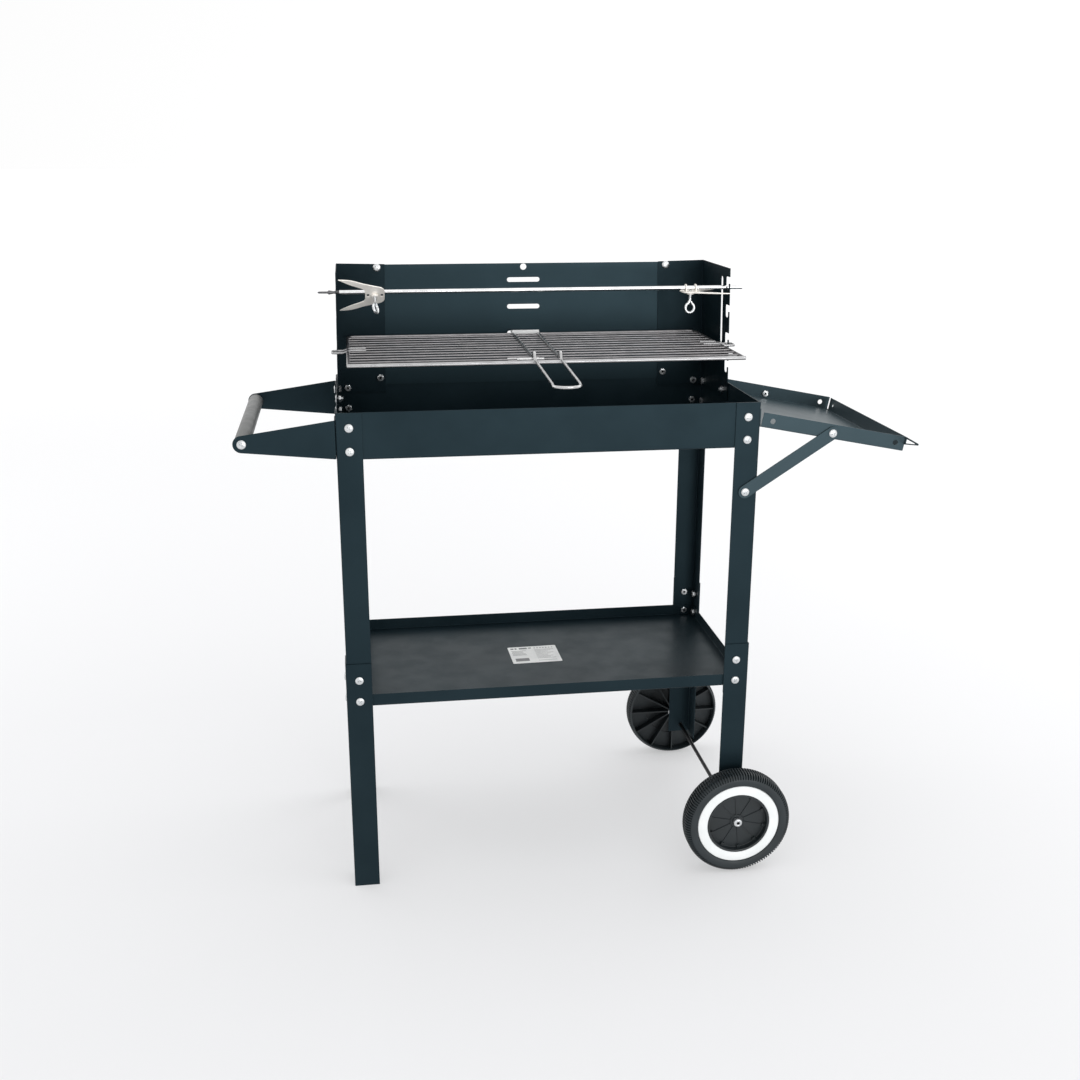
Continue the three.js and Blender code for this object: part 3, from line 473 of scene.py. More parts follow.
def pan_head(radius, height):
    """A domed head with a cross recess, its seat at z = 0 and its top towards -Z."""
    key = (radius, height)
    if key not in head_meshes:
        dome = [(CENTRE, -height)]
        for k in range(1, DOME_STEPS + 1):
            a = math.radians(90 * k / DOME_STEPS)
            dome.append((radius * math.sin(a), -0.35 * height - 0.65 * height * math.cos(a)))
        dome += [(radius, -0.25), (radius - 0.3, 0), (CENTRE, 0)]
        head = Shape().lathe(dome, Matrix.Identity(4), 32).finish("head", ZINC)
        cross = cross_outline(RECESS_ARM * radius / HEAD_RADIUS, RECESS_HALF_WIDTH)
        tip = [(x * RECESS_TAPER, y * RECESS_TAPER) for x, y in cross]
        levels = ((cross, -height - 0.5), (cross, -height + 0.2), (tip, -height + 1.5))
        rings = [[size(x, y, z) for x, y in ring] for ring, z in levels]
        cutter = Shape().rings(rings).finish("cutter", ZINC)
        cut_away(head, cutter)
        head_meshes[key] = head.data
        bpy.data.objects.remove(head)
    return head_meshes[key]


def add_nut(shape, place, start, end_of_screw):
    """A hexagonal nut with chamfered corners, and the thread that comes out of it."""
    flat = NUT_ACROSS_FLATS / 2
    sixth = math.pi / 3
    rings = []
    for at_top, at_end in ((False, True), (False, False), (True, False), (True, True)):
        ring = []
        for i in range(NUT_STEPS):
            a = 2 * math.pi * i / NUT_STEPS
            hexagon = flat / math.cos((a + sixth / 2) % sixth - sixth / 2)
            trimmed = min(hexagon, flat * NUT_CHAMFER)
            r = trimmed if at_end else hexagon
            drop = 0 if at_end else (hexagon - trimmed) * 0.6
            z = start + (NUT_HEIGHT - drop if at_top else drop)
            ring.append(place @ size(r * math.cos(a), r * math.sin(a), z))
        rings.append(ring)
    shape.rings(rings)
    crests = []
    z = start + NUT_HEIGHT - 0.2
    while z < end_of_screw - 0.6:
        crests += [(SHANK_RADIUS - THREAD_DEPTH, z), (SHANK_RADIUS, z + 0.35), (SHANK_RADIUS, z + 0.5)]
        z += THREAD_PITCH
    crests += [(SHANK_RADIUS - 0.5, end_of_screw - 0.2), (SHANK_RADIUS - 0.9, end_of_screw)]
    shape.lathe(crests, place, 20)


def make_screw(name, seat, into, grip, nodes=(), head=(HEAD_RADIUS, HEAD_HEIGHT), stick_out=0.0):
    """A screw with its head's seat at a place, and a nut where it has gone in by the grip."""
    place = axis_place(seat, into, scatter.uniform(0, math.pi / 2))
    shape = Shape()
    shape.bm.from_mesh(pan_head(*head))
    bmesh.ops.transform(shape.bm, matrix=place, verts=shape.bm.verts)
    shape.lathe([(SHANK_RADIUS, -0.2), (SHANK_RADIUS, grip + SEAT_GAP + 1)], place, 16)
    nut_start = grip + SEAT_GAP
    add_nut(shape, place, nut_start, nut_start + NUT_HEIGHT + stick_out)
    settle(shape.finish(name, ZINC), "frame", "zinc", *nodes)


def cad_screw(node, into):
    """A detailed screw in the place of a CAD bolt, a little shorter than the CAD node's box."""
    low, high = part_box(node)
    length = abs((high - low).dot(into)) * 1000
    seat = (low + high) / 2 + into * mm(HEAD_HEIGHT - length / 2)
    grip = length - HEAD_HEIGHT - SEAT_GAP - NUT_HEIGHT - 0.1
    make_screw(node.replace("bolt_", "screw_"), seat, into, grip, nodes=(node,))


for end, into in (("front", Y), ("rear", -Y)):
    for side in ("left", "right"):
        for row in ("box_upper", "box_lower", "shin_upper", "shin_lower"):
            cad_screw(f"bolt_{row}_{end}_{side}", into)
    cad_screw(f"bolt_brace_leg_{end}", into)
    cad_screw(f"bolt_brace_tray_{end}", into)
    cad_screw(f"bolt_handle_{end}", X)
for side in ("left", "right"):
    cad_screw(f"bolt_shield_top_{side}", Y)
    cad_screw(f"bolt_shield_bottom_{side}", -Y)

UPPER_BOLT_Z = 711
LOWER_BOLT_Z = 678
SHIN_BOLT_Z = (338.5, 305.5)
BOLT_INSET = 18
LEG_GRIP = 4.4                # through a leg, what lies on its outside, and the box or shelf
BOX_SIDE_GRIP = 3.0
SHIELD_SIDE_GRIP = 2.3
SHIELD_SIDE_BOLT = (178, 718)


def make_side_screws():
    """Screws through the legs' side flanges, which the CAD leaves out."""
    for end, y in (("front", BOLT_INSET), ("rear", DEPTH - BOLT_INSET)):
        for side, sign in (("left", -1), ("right", 1)):
            into = -X * sign
            for z in SHIN_BOLT_Z:
                seat = at(sign * (LEG_X + GAP + LEG_SHEET), y, z)
                make_screw(f"screw_shin_side_{end}_{side}_{int(z)}", seat, into, LEG_GRIP)
        on_bracket = at(-LEG_X - GAP - LEG_SHEET, y, LOWER_BOLT_Z)
        make_screw(f"screw_handle_lower_{end}", on_bracket, X, LEG_GRIP)
        on_tray = at(LEG_X + GAP + SHEET, y, UPPER_BOLT_Z)
        make_screw(f"screw_tray_leg_{end}", on_tray, -X, LEG_GRIP)
        on_leg = at(LEG_X, y, LOWER_BOLT_Z)
        make_screw(f"screw_box_side_{end}", on_leg, -X, BOX_SIDE_GRIP)
    for side, sign in (("left", -1), ("right", 1)):
        on_box = at(sign * (LEG_X - LEG_SHEET - GAP), *SHIELD_SIDE_BOLT)
        make_screw(f"screw_shield_side_{side}", on_box, -X * sign, SHIELD_SIDE_GRIP, stick_out=3)


make_side_screws()

# ---- wheels ----
# Depths are measured inwards from the wheel's outer face.
WHEEL_RADIUS = 83
WHEEL_WIDTH = 34
RING_INNER, RING_OUTER = 49, 64
RING_FACE = 2
RING_SEAT = 4.7
HUB_RADIUS = 46.8
HUB_DEPTH = 12
HUB_BACK = HUB_DEPTH + 3.4
BOSS_RADIUS = 11
BOSS_FACE = 10.5
BOSS_END = WHEEL_WIDTH - 2
AXLE_RADIUS = 3
BORE = AXLE_RADIUS + 0.4
CAP_RADIUS = 7
CAP_FLOOR = 5.6
CAP_MOUTH = 9.4
WASHER_RADIUS = 9
WASHER_SHEET = 1.6
TREAD_RIBS = 120
TREAD_DEPTH = 2.8
TREAD_START = 76
# Round the wheel a rib's tread is this deep at these shares of its pitch.
RIB_PROFILE = ((0.0, TREAD_DEPTH), (0.12, 0), (0.54, 0), (0.66, TREAD_DEPTH))
TYRE_INNER = 77
FACE_RIBS = 10
BACK_RIBS = 12


def sunk(r, y, depth):
    """A tread point moved into the tyre: across its face on the shoulder, towards the axle on top."""
    turn = math.pi / 2 * min(1, (WHEEL_RADIUS - r) / (WHEEL_RADIUS - TREAD_START))
    inwards = 1 if y < WHEEL_WIDTH / 2 else -1
    return r - depth * math.cos(turn), y + inwards * depth * math.sin(turn)


def add_tyre(shape, place):
    """The tyre and its seat for the ring; its tread is cut into ribs across its width."""
    outside = [(RING_INNER - 0.3, 5.2), (RING_OUTER + 0.2, 5.2), (RING_OUTER + 0.6, 1.4),
               (67, 0.4), (71, 0), (74, 0.1), (75.6, 0.5)]
    tread = [(TREAD_START + 0.4, 0.8), (78.4, 1.7), (80.4, 3.3), (81.8, 5.3), (82.6, 7.5),
             (WHEEL_RADIUS, 10), (WHEEL_RADIUS, 15.4), (81.6, 16.2), (81.6, 17.8),
             (WHEEL_RADIUS, 18.6), (WHEEL_RADIUS, 24), (82.6, 26.5), (81.8, 28.7), (80.6, 30.4)]
    inside = [(79.8, 32), (79.2, 33.2), (78.2, 34), (77.4, 33.8), (TYRE_INNER, 33),
              (TYRE_INNER, HUB_DEPTH + 4.5), (RING_INNER - 0.3, HUB_DEPTH + 4.5)]
    rings = []
    for rib in range(TREAD_RIBS):
        for share, depth in RIB_PROFILE:
            a = 2 * math.pi * (rib + share) / TREAD_RIBS
            points = outside + [sunk(r, y, depth) for r, y in tread] + inside
            rings.append([place @ size(r * math.cos(a), r * math.sin(a), y) for r, y in points])
    shape.rings(rings, loop=True)


def add_hub(shape, place):
    """The recessed disc with its boss and rim wall."""
    profile = [
        (BORE, BOSS_FACE), (BOSS_RADIUS - 1, BOSS_FACE), (BOSS_RADIUS, BOSS_FACE + 0.7),
        (BOSS_RADIUS + 0.3, HUB_DEPTH), (HUB_RADIUS - 2.4, HUB_DEPTH),
        (HUB_RADIUS - 1.6, HUB_DEPTH - 0.8), (HUB_RADIUS - 1.2, RING_FACE + 0.6),
        (HUB_RADIUS, RING_FACE), (RING_INNER - 0.5, RING_FACE), (RING_INNER - 0.5, HUB_BACK),
        (BOSS_RADIUS, HUB_BACK), (BOSS_RADIUS - 1, BOSS_END), (BORE, BOSS_END)]
    shape.lathe(profile, place, 96, closed=True)


def add_ribs(shape, place):
    """Thin spokes with end blocks on the hub's outer side, and plates across its hollow back."""
    for k in range(FACE_RIBS):
        spoke = place @ Matrix.Rotation(2 * math.pi * (k + 0.35) / FACE_RIBS, 4, "Z")
        face = spoke @ Matrix.Translation(size(0, 0, HUB_DEPTH - 1.1))
        shape.plate([(BOSS_RADIUS - 0.5, -0.8), (HUB_RADIUS - 1.8, -0.55),
                     (HUB_RADIUS - 1.8, 0.55), (BOSS_RADIUS - 0.5, 0.8)], face, 1.3)
        shape.block((HUB_RADIUS - 6.2, -2.6, HUB_DEPTH - 3.2),
                    (HUB_RADIUS - 1.4, 2.6, HUB_DEPTH + 0.2), spoke)
    for k in range(BACK_RIBS):
        spoke = place @ Matrix.Rotation(2 * math.pi * k / BACK_RIBS, 4, "Z")
        root, reach = BOSS_RADIUS - 0.6, TYRE_INNER + 0.2
        side = [(root, HUB_DEPTH + 3), (reach, HUB_DEPTH + 3), (reach, WHEEL_WIDTH - 3.5),
                (root, BOSS_END - 1)]
        stand = spoke @ Matrix.Translation(size(0, 1.1, 0)) @ Matrix.Rotation(math.pi / 2, 4, "X")
        shape.plate(side, stand, 2.2)


def make_ring(label, place):
    """The white ring in its seat between hub and tyre."""
    ring = Shape().lathe(
        [(RING_INNER, RING_SEAT), (RING_INNER, RING_FACE + 0.8), (RING_INNER + 0.5, RING_FACE + 0.25),
         (RING_INNER + 1.4, RING_FACE), (RING_OUTER - 1.4, RING_FACE),
         (RING_OUTER - 0.5, RING_FACE + 0.3), (RING_OUTER, RING_FACE + 0.9), (RING_OUTER, RING_SEAT)],
        place, 128, closed=True)
    settle(ring.finish(f"ring_{label}", RING_PLASTIC, 40), f"wheel_{label}", "white_ring",
           f"wheel_ring_{label}")


def make_cap(label, place):
    """The push cap on the axle's end, with a dimple in its dome."""
    cap = Shape().lathe(
        [(2.6, CAP_FLOOR), (2.6, 3.4), (3.1, 3.05), (4.5, 3.1), (5.8, 3.6), (6.7, 4.6),
         (CAP_RADIUS, 5.9), (CAP_RADIUS, CAP_MOUTH), (BORE, CAP_MOUTH), (BORE, CAP_FLOOR)],
        place, 40, closed=True)
    settle(cap.finish(f"cap_{label}", ZINC, 40), "frame", "zinc", f"axle_cap_{label}")


def make_washer(label, place):
    near = BOSS_END + GAP
    far = near + WASHER_SHEET
    hole = AXLE_RADIUS + 0.2
    washer = Shape().lathe(
        [(hole, near), (WASHER_RADIUS - 0.2, near), (WASHER_RADIUS, near + 0.2),
         (WASHER_RADIUS, far - 0.2), (WASHER_RADIUS - 0.2, far), (hole, far)], place, 40, closed=True)
    settle(washer.finish(f"washer_{label}", ZINC), "frame", "zinc")


def make_wheel(label, outward):
    body = f"wheel_{label}"
    low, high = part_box(f"wheel_{label}")
    centre = (low + high) / 2
    place = axis_place(centre + outward * mm(WHEEL_WIDTH / 2), -outward)
    tyre = Shape()
    add_tyre(tyre, place)
    settle(tyre.finish(f"tyre_{label}", TYRE_PLASTIC, 50), body, "wheel_plastic", f"wheel_{label}")
    hub = Shape()
    add_hub(hub, place)
    add_ribs(hub, place)
    settle(hub.finish(f"hub_{label}", HUB_PLASTIC), body, "wheel_plastic")
    make_ring(label, place)
    make_cap(label, place)
    make_washer(label, place)


def make_axle():
    start, length = cad_rod("axle", Y)
    rod = Shape().lathe(
        [(CENTRE, 0), (AXLE_RADIUS - 0.8, 0), (AXLE_RADIUS, 0.8), (AXLE_RADIUS, length - 0.8),
         (AXLE_RADIUS - 0.8, length), (CENTRE, length)], axis_place(start, Y), 32)
    settle(rod.finish("axle_rod", DARK_STEEL), "frame", "dark_steel", "axle")


make_wheel("front", -Y)
make_wheel("rear", Y)
make_axle()

# ---- carrying handle ----
GRIP_RADIUS = 11
GRIP_BORE = 5.5
GRIP_SCREW_HEAD = (6.4, 3.0)
GRIP_SCREW_GRIP = 8
GRIP_SCREW_SEAT = 1.6         # from the tube's end out to the bracket's face


def make_grip():
    """A plastic tube with rounded ends, and the screw that holds it at each end."""
    start, length = cad_rod("handle_grip", Y)
    tube = Shape().lathe(
        [(GRIP_BORE, 0), (GRIP_RADIUS - 1.2, 0), (GRIP_RADIUS - 0.35, 0.35), (GRIP_RADIUS, 1.2),
         (GRIP_RADIUS, length - 1.2), (GRIP_RADIUS - 0.35, length - 0.35),
         (GRIP_RADIUS - 1.2, length), (GRIP_BORE, length)], axis_place(start, Y), 64, closed=True)
    settle(tube.finish("grip_tube", LIT_GRIP_PLASTIC, 40), "frame", "black_grip", "handle_grip")
    for label, end, into in (("front", start, Y), ("rear", start + Y * mm(length), -Y)):
        seat = end - into * mm(GRIP_SCREW_SEAT)
        make_screw(f"grip_screw_{label}", seat, into, GRIP_SCREW_GRIP,
                   nodes=(f"handle_screw_{label}",), head=GRIP_SCREW_HEAD)


make_grip()

# ---- spit, forks and eye screws ----
SPIT_Y = 167
SPIT_Z = 876
SPIT_RADIUS = 3
TIP_LENGTH = 31
TIP_GAP = 0.02                # keeps tip and bar from sharing a face


def make_spit():
    """The rod's pointed, notched tip at the left, and its plain bar."""
    start, length = cad_rod("spit_rod", X)
    place = axis_place(start, X)
    tip = Shape().lathe(
        [(CENTRE, 0), (0.9, 0.3), (1.5, 2), (1.6, 14), (SPIT_RADIUS, 15.5), (SPIT_RADIUS, 17),
         (1.9, 23), (2.4, 26), (SPIT_RADIUS, TIP_LENGTH), (CENTRE, TIP_LENGTH)], place, 32)
    settle(tip.finish("spit_tip", TIP_STEEL), "spit", "chrome", "spit_rod")
    bar_start = TIP_LENGTH + TIP_GAP
    rod = Shape().lathe(
        [(CENTRE, bar_start), (SPIT_RADIUS, bar_start), (SPIT_RADIUS, length - 1.2),
         (SPIT_RADIUS - 0.9, length), (CENTRE, length)], place, 32)
    settle(rod.finish("spit_bar", CHROME), "spit", "chrome")


# In a fork's own frame the spit runs along X, and the prongs point along -X.
FORK_SHEET = 1.5
FORK_NUT_RADIUS = 5
FORK_NUT_BORE = 2.4
FORK_NUT_HEIGHT = 3.5
FORK_PLATE_Z = -5
FORK_UNDERSIDE_Z = FORK_PLATE_Z - FORK_SHEET
FORK_LENGTH = 28
FORK_MIDDLE_X = -FORK_LENGTH / 2
CHEEK_X = (-6.5, -21.5)
CHEEK_HALF_WIDTH = 6.5
CHEEK_TOP = 5.5
CHEEK_CROWN = 4
WINDOW_LENGTH = 3.6
WINDOW_HALF_WIDTH = 2.6
PRONG = [(0, 9), (-1.5, 13.5), (-5, 16.8), (-30, 25), (-40, 29.6), (-47, 32.3), (-53, 33.6),
         (-60, 34.4), (-66, 34.5), (-60, 30.3), (-53, 25.6), (-47, 22), (-40, 18.6),
         (-34, 15.6), (-30, 13), (-FORK_LENGTH, 9)]


def make_fork_plate(label, place):
    """The stamped plate with its two prongs, and the windows that its cheeks were bent out of."""
    outline = PRONG + [(x, -y) for x, y in reversed(PRONG)]
    underside = place @ Matrix.Translation(size(0, 0, FORK_UNDERSIDE_Z))
    plate = Shape().plate(outline, underside, FORK_SHEET)
    plate = plate.finish(f"fork_plate_{label}", STAMPED)
    windows = Shape()
    for cheek in CHEEK_X:
        outwards = 1 if cheek > FORK_MIDDLE_X else -1
        near = cheek + outwards * FORK_SHEET / 2
        far = near + outwards * WINDOW_LENGTH
        windows.block((min(near, far), -WINDOW_HALF_WIDTH, FORK_UNDERSIDE_Z - 1),
                      (max(near, far), WINDOW_HALF_WIDTH, FORK_PLATE_Z + 1), place)
    cut_away(plate, windows.finish("cutter", STAMPED))
    soften(plate, 0.35)
    settle(plate, f"fork_{label}", "chrome", f"fork_{label}")


def make_fork_cheeks(label, place):
    """The two upright cheeks, bored for the spit."""
    foot = FORK_PLATE_Z - 0.7
    arc = [(CHEEK_HALF_WIDTH * math.cos(math.radians(a)),
            CHEEK_TOP - CHEEK_CROWN + CHEEK_CROWN * math.sin(math.radians(a)))
           for a in range(0, 181, 15)]
    outline = [(CHEEK_HALF_WIDTH, foot)] + arc + [(-CHEEK_HALF_WIDTH, foot)]
    cheeks = Shape()
    for cheek in CHEEK_X:
        stand = (place @ Matrix.Translation(size(cheek - FORK_SHEET / 2, 0, 0))
                 @ Matrix.Rotation(math.pi / 2, 4, "Z") @ Matrix.Rotation(math.pi / 2, 4, "X"))
        cheeks.plate(outline, stand, FORK_SHEET)
    bore = Shape().lathe([(SPIT_RADIUS + 0.3, -30), (SPIT_RADIUS + 0.3, 5)],
                         place @ Matrix.Rotation(math.pi / 2, 4, "Y"), 32)
    cheeks = cheeks.finish(f"fork_cheeks_{label}", STAMPED)
    cut_away(cheeks, bore.finish("cutter", STAMPED))
    soften(cheeks, 0.3)
    settle(cheeks, f"fork_{label}", "chrome")


def make_fork_nut(label, place):
    """The round nut under the plate that the eye screw goes through."""
    nut = Shape().lathe(
        [(FORK_NUT_BORE, -0.1), (4.6, -0.1), (FORK_NUT_RADIUS, -0.5), (4.9, -3),
         (4.4, -FORK_NUT_HEIGHT), (FORK_NUT_BORE, -FORK_NUT_HEIGHT)],
        place @ Matrix.Translation(size(FORK_MIDDLE_X, 0, FORK_UNDERSIDE_Z)), 32, closed=True)
    settle(nut.finish(f"fork_nut_{label}", STAMPED), f"fork_{label}", "chrome")


def make_fork(label, x, flip, roll):
    """A fork at x on the spit, flipped to point along it either way and rolled about it."""
    place = (Matrix.Translation(at(x, SPIT_Y, SPIT_Z)) @ Matrix.Rotation(roll, 4, "X")
             @ Matrix.Rotation(flip, 4, "Z"))
    make_fork_plate(label, place)
    make_fork_cheeks(label, place)
    make_fork_nut(label, place)


EYE_DROP = 30.5
EYE_RADIUS = 6.6
EYE_NECK = EYE_RADIUS * 1.55   # from the eye's middle up to where the wire straightens
EYE_STRETCH = 1.22            # makes the upper half taller, so that the eye is drop-shaped
EYE_WIRE = 1.9
EYE_STEPS = 30
EYE_START, EYE_SWEEP = 112, 314
EYE_THREAD_RADIUS = 2.15
EYE_THREAD_ROOT = 1.75
EYE_THREAD_PITCH = 0.7
EYE_THREAD_END = -16


def make_eye_screw(label, x, roll, eye_turn):
    """A wire bent to a drop-shaped eye, its straight end threaded."""
    place = (Matrix.Translation(at(x, SPIT_Y, SPIT_Z)) @ Matrix.Rotation(roll, 4, "X")
             @ Matrix.Rotation(eye_turn, 4, "Z"))
    neck = -EYE_DROP + EYE_NECK
    path = [place @ size(0, 0, z) for z in (-SPIT_RADIUS - 0.3, -12, neck + 3.5)]
    path.append(place @ size(-0.6, 0, neck))
    for k in range(EYE_STEPS + 1):
        a = math.radians(EYE_START + EYE_SWEEP * k / EYE_STEPS)
        stretch = EYE_STRETCH if math.sin(a) > 0 else 1.0
        path.append(place @ size(EYE_RADIUS * math.cos(a), 0,
                                 -EYE_DROP + EYE_RADIUS * stretch * math.sin(a)))
    path.append(place @ size(1.5, 0, neck + 0.3))
    shape = Shape().sweep(path, EYE_WIRE, 14)
    crests = []
    z = -SPIT_RADIUS - 0.6
    while z > EYE_THREAD_END:
        crests += [(EYE_THREAD_ROOT, z), (EYE_THREAD_RADIUS, z - 0.3), (EYE_THREAD_RADIUS, z - 0.42)]
        z -= EYE_THREAD_PITCH
    shape.lathe(crests, place, 18)
    settle(shape.finish(f"eye_wire_{label}", ZINC, 50), f"eye_screw_{label}", "zinc",
           f"fork_screw_{label}")


FORK_LEFT_X, FORK_RIGHT_X = -223, 221
FORK_LEFT_ROLL = math.radians(-45)
EYE_LEFT_TURN = math.radians(60)

make_spit()
make_fork("left", FORK_LEFT_X, 0, FORK_LEFT_ROLL)
make_fork("right", FORK_RIGHT_X, math.pi, 0)
make_eye_screw("left", FORK_LEFT_X + FORK_MIDDLE_X, FORK_LEFT_ROLL, EYE_LEFT_TURN)
make_eye_screw("right", FORK_RIGHT_X - FORK_MIDDLE_X, 0, 0)

# ---- grate ----
GRATE_Z = 791.95
GRATE_X = 279
GRATE_FRONT_Y = 24
GRATE_REAR_Y = 299
FRAME_WIRE = 2.5
FRAME_BEND = 14
FRONT_WIRE = 2.9
FINE_WIRE = 1.4
FINE_COUNT = 11
FINE_LIFT = 0.8
HOOK_WIRE = 1.75
HOOK_BEND = 5
HOOK_Z = 791.05
HOOK_X = 302
HOOK_STEP = 3                 # its ends are this much higher, on the grate's wires
HOOK_FRONT_Y, HOOK_REAR_Y = 146, 167
LIFT_REAR_X = (-19, 21)
LIFT_STEP_X = (-22, 15)
LIFT_WIRE = 2
LIFT_Z = GRATE_Z + FINE_WIRE + LIFT_WIRE - 0.2
LIFT_FRONT_Y = -105
LIFT_DROP = 16
LIFT_BOW = 15
LIFT_BEND = 8
LIFT_END_LEFT, LIFT_END_RIGHT = -15, 22
STEP_Y = 21
STEP_HEIGHT = 10.5
STEP_BEND = 3
CROSS_WIRE = 1.8
CROSS_WIRE_X = (-46, -8)
TAB_SHEET = 1.5
TAB_LIP = 6
TAB_REACH = 14                # in front of the grate's rear wire
TAB_BEND = 0.8
TAB_ENDS_X = (LIFT_REAR_X[0] - 2, LIFT_REAR_X[1] + 1)


def wire(shape, points, radius, bend=0.0, sides=12, steps=6):
    """A round wire through places in mm, with its corners bent to a radius."""
    shape.sweep(rounded([at(*point) for point in points], bend, steps), radius, sides)


def add_lifting_wires(shape):
    """Two wires along the grate, each stepped up once, and the loop that joins them in front."""
    low_z = LIFT_Z - LIFT_DROP
    for rear_x, x in zip(LIFT_REAR_X, LIFT_STEP_X):
        wire(shape, [(rear_x, GRATE_REAR_Y + 1, LIFT_Z), (x, STEP_Y + 26, LIFT_Z + 1),
                     (x, STEP_Y + 9, LIFT_Z + STEP_HEIGHT), (x, STEP_Y + 4, LIFT_Z - 2),
                     (x, STEP_Y - 5, LIFT_Z - 1)], LIFT_WIRE, STEP_BEND)
    middle = (LIFT_END_LEFT + LIFT_END_RIGHT) / 2
    half = (LIFT_END_RIGHT - LIFT_END_LEFT) / 2
    left, right = LIFT_STEP_X
    loop = [(left, STEP_Y - 3, LIFT_Z), (LIFT_END_LEFT, LIFT_FRONT_Y + 20, low_z + 2)]
    for a in range(190, 351, 20):
        x = middle + half * math.cos(math.radians(a))
        y = LIFT_FRONT_Y + LIFT_BOW + LIFT_BOW * math.sin(math.radians(a))
        loop.append((x, y, low_z))
    loop += [(LIFT_END_RIGHT, LIFT_FRONT_Y + 20, low_z + 2), (right, STEP_Y - 3, LIFT_Z)]
    wire(shape, loop, LIFT_WIRE, LIFT_BEND)
    wire(shape, [(x, STEP_Y + 12, LIFT_Z) for x in CROSS_WIRE_X], CROSS_WIRE)


def add_tab(shape):
    """The sheet tab at the rear, with its front edge turned up."""
    front = GRATE_REAR_Y - TAB_REACH
    rear = DEPTH + 1
    lip_rear = front + TAB_SHEET
    low = LIFT_Z - 0.7
    top = low + TAB_SHEET
    profile = [(front, low), (rear, low), (rear, top), (lip_rear + TAB_BEND, top),
               (lip_rear, top + TAB_BEND), (lip_rear, low + TAB_LIP), (front, low + TAB_LIP)]
    shape.rings([[at(x, y, z) for y, z in profile] for x in TAB_ENDS_X])


def add_frame_and_fine_wires(shape):
    """The wire round the grate's sides and rear, and the fine wires from side to side."""
    wire(shape, [(-GRATE_X, GRATE_FRONT_Y + 1, GRATE_Z), (-GRATE_X, GRATE_REAR_Y, GRATE_Z),
                 (GRATE_X, GRATE_REAR_Y, GRATE_Z), (GRATE_X, GRATE_FRONT_Y + 1, GRATE_Z)],
         FRAME_WIRE, FRAME_BEND, 14, 10)
    pitch = (GRATE_REAR_Y - GRATE_FRONT_Y) / (FINE_COUNT + 1)
    for k in range(1, FINE_COUNT + 1):
        y = GRATE_FRONT_Y + k * pitch
        ends = [(x, y, GRATE_Z + FINE_LIFT) for x in (-GRATE_X, GRATE_X)]
        wire(shape, ends, FINE_WIRE, sides=10)


def add_front_wire_and_hooks(shape):
    """The thick wire along the front, and at each side the bent wire that rests in a notch."""
    front = [(x, GRATE_FRONT_Y, GRATE_Z) for x in (-GRATE_X - 2, GRATE_X + 2)]
    wire(shape, front, FRONT_WIRE, sides=16)
    raised = HOOK_Z + HOOK_STEP
    for sign in (-1, 1):
        half = [(sign * (GRATE_X - 26), raised), (sign * (GRATE_X - 4), raised),
                (sign * (GRATE_X + 8), HOOK_Z), (sign * HOOK_X, HOOK_Z)]
        rear = [(x, HOOK_REAR_Y, z) for x, z in half]
        back_in = [(x, HOOK_FRONT_Y, z) for x, z in reversed(half)]
        wire(shape, rear + back_in, HOOK_WIRE, HOOK_BEND)


# The grate's wires share one plating, shown in three tones as painted shade and painted highlight.
def make_grate():
    wires = Shape()
    add_frame_and_fine_wires(wires)
    settle(wires.finish("grate_wires", SHADED_WIRE_CHROME, 50), "grate", "chrome", "grate")
    bright = Shape()
    add_front_wire_and_hooks(bright)
    settle(bright.finish("grate_front_and_hooks", LIT_FRONT_CHROME, 50), "grate", "chrome")
    lifting = Shape()
    add_lifting_wires(lifting)
    settle(lifting.finish("grate_lifting_wires", LIT_LIFT_CHROME, 50), "grate", "chrome")
    tab_shape = Shape()
    add_tab(tab_shape)
    tab = tab_shape.finish("grate_tab", TAB_STEEL)
    soften(tab, 0.3)
    settle(tab, "grate", "chrome")


make_grate()

# ---- label on the shelf ----
LABEL_MIDDLE = (-2, 162)
LABEL_SIZE = (79, 68)
LABEL_TURN = math.radians(1.5)
LABEL_CORNER = 2
FILM_THICKNESS = 0.12
INK_THICKNESS = 0.05


def label_bars():
    """Generic bars in place of print, as (x, y, width, height) from the label's lower left."""
    bars = [(4, 58, 5, 5), (11, 58, 3, 5), (18, 57.5, 13, 6), (33, 59, 5, 4)]
    for row in range(5):
        bars.append((4 + row % 2, 50 - row * 4.2, 24 - (row * 7) % 9, 1.4))
    for column in range(7):
        bars.append((42 + column * 4.8, 59, 2.4, 2.4))
    for row in range(9):
        bars.append((42, 52 - row * 4.4, 31 - (row * 5) % 13, 1.0))
    bars += [(6, 8, 22, 12), (42, 8, 30, 0.9)]
    return bars


def make_label():
    turn = Matrix.Rotation(LABEL_TURN, 4, "Z")
    place = Matrix.Translation(at(*LABEL_MIDDLE, SHELF_TOP_Z + 0.05)) @ turn
    width, height = LABEL_SIZE
    corners = []
    for cx, cy, start in ((1, 1, 0), (-1, 1, 90), (-1, -1, 180), (1, -1, 270)):
        for a in range(start, start + 91, 30):
            corners.append((
                cx * (width / 2 - LABEL_CORNER) + LABEL_CORNER * math.cos(math.radians(a)),
                cy * (height / 2 - LABEL_CORNER) + LABEL_CORNER * math.sin(math.radians(a))))
    film = Shape().plate(corners, place, FILM_THICKNESS)
    settle(film.finish("label_film", LABEL_FILM), "frame", "white_ring")
    ink = Shape()
    for x, y, bar_width, bar_height in label_bars():
        left, lower = x - width / 2, y - height / 2
        ink.block((left, lower, FILM_THICKNESS),
                  (left + bar_width, lower + bar_height, FILM_THICKNESS + INK_THICKNESS), place)
    settle(ink.finish("label_print", LABEL_INK), "frame", "black_paint")


make_label()

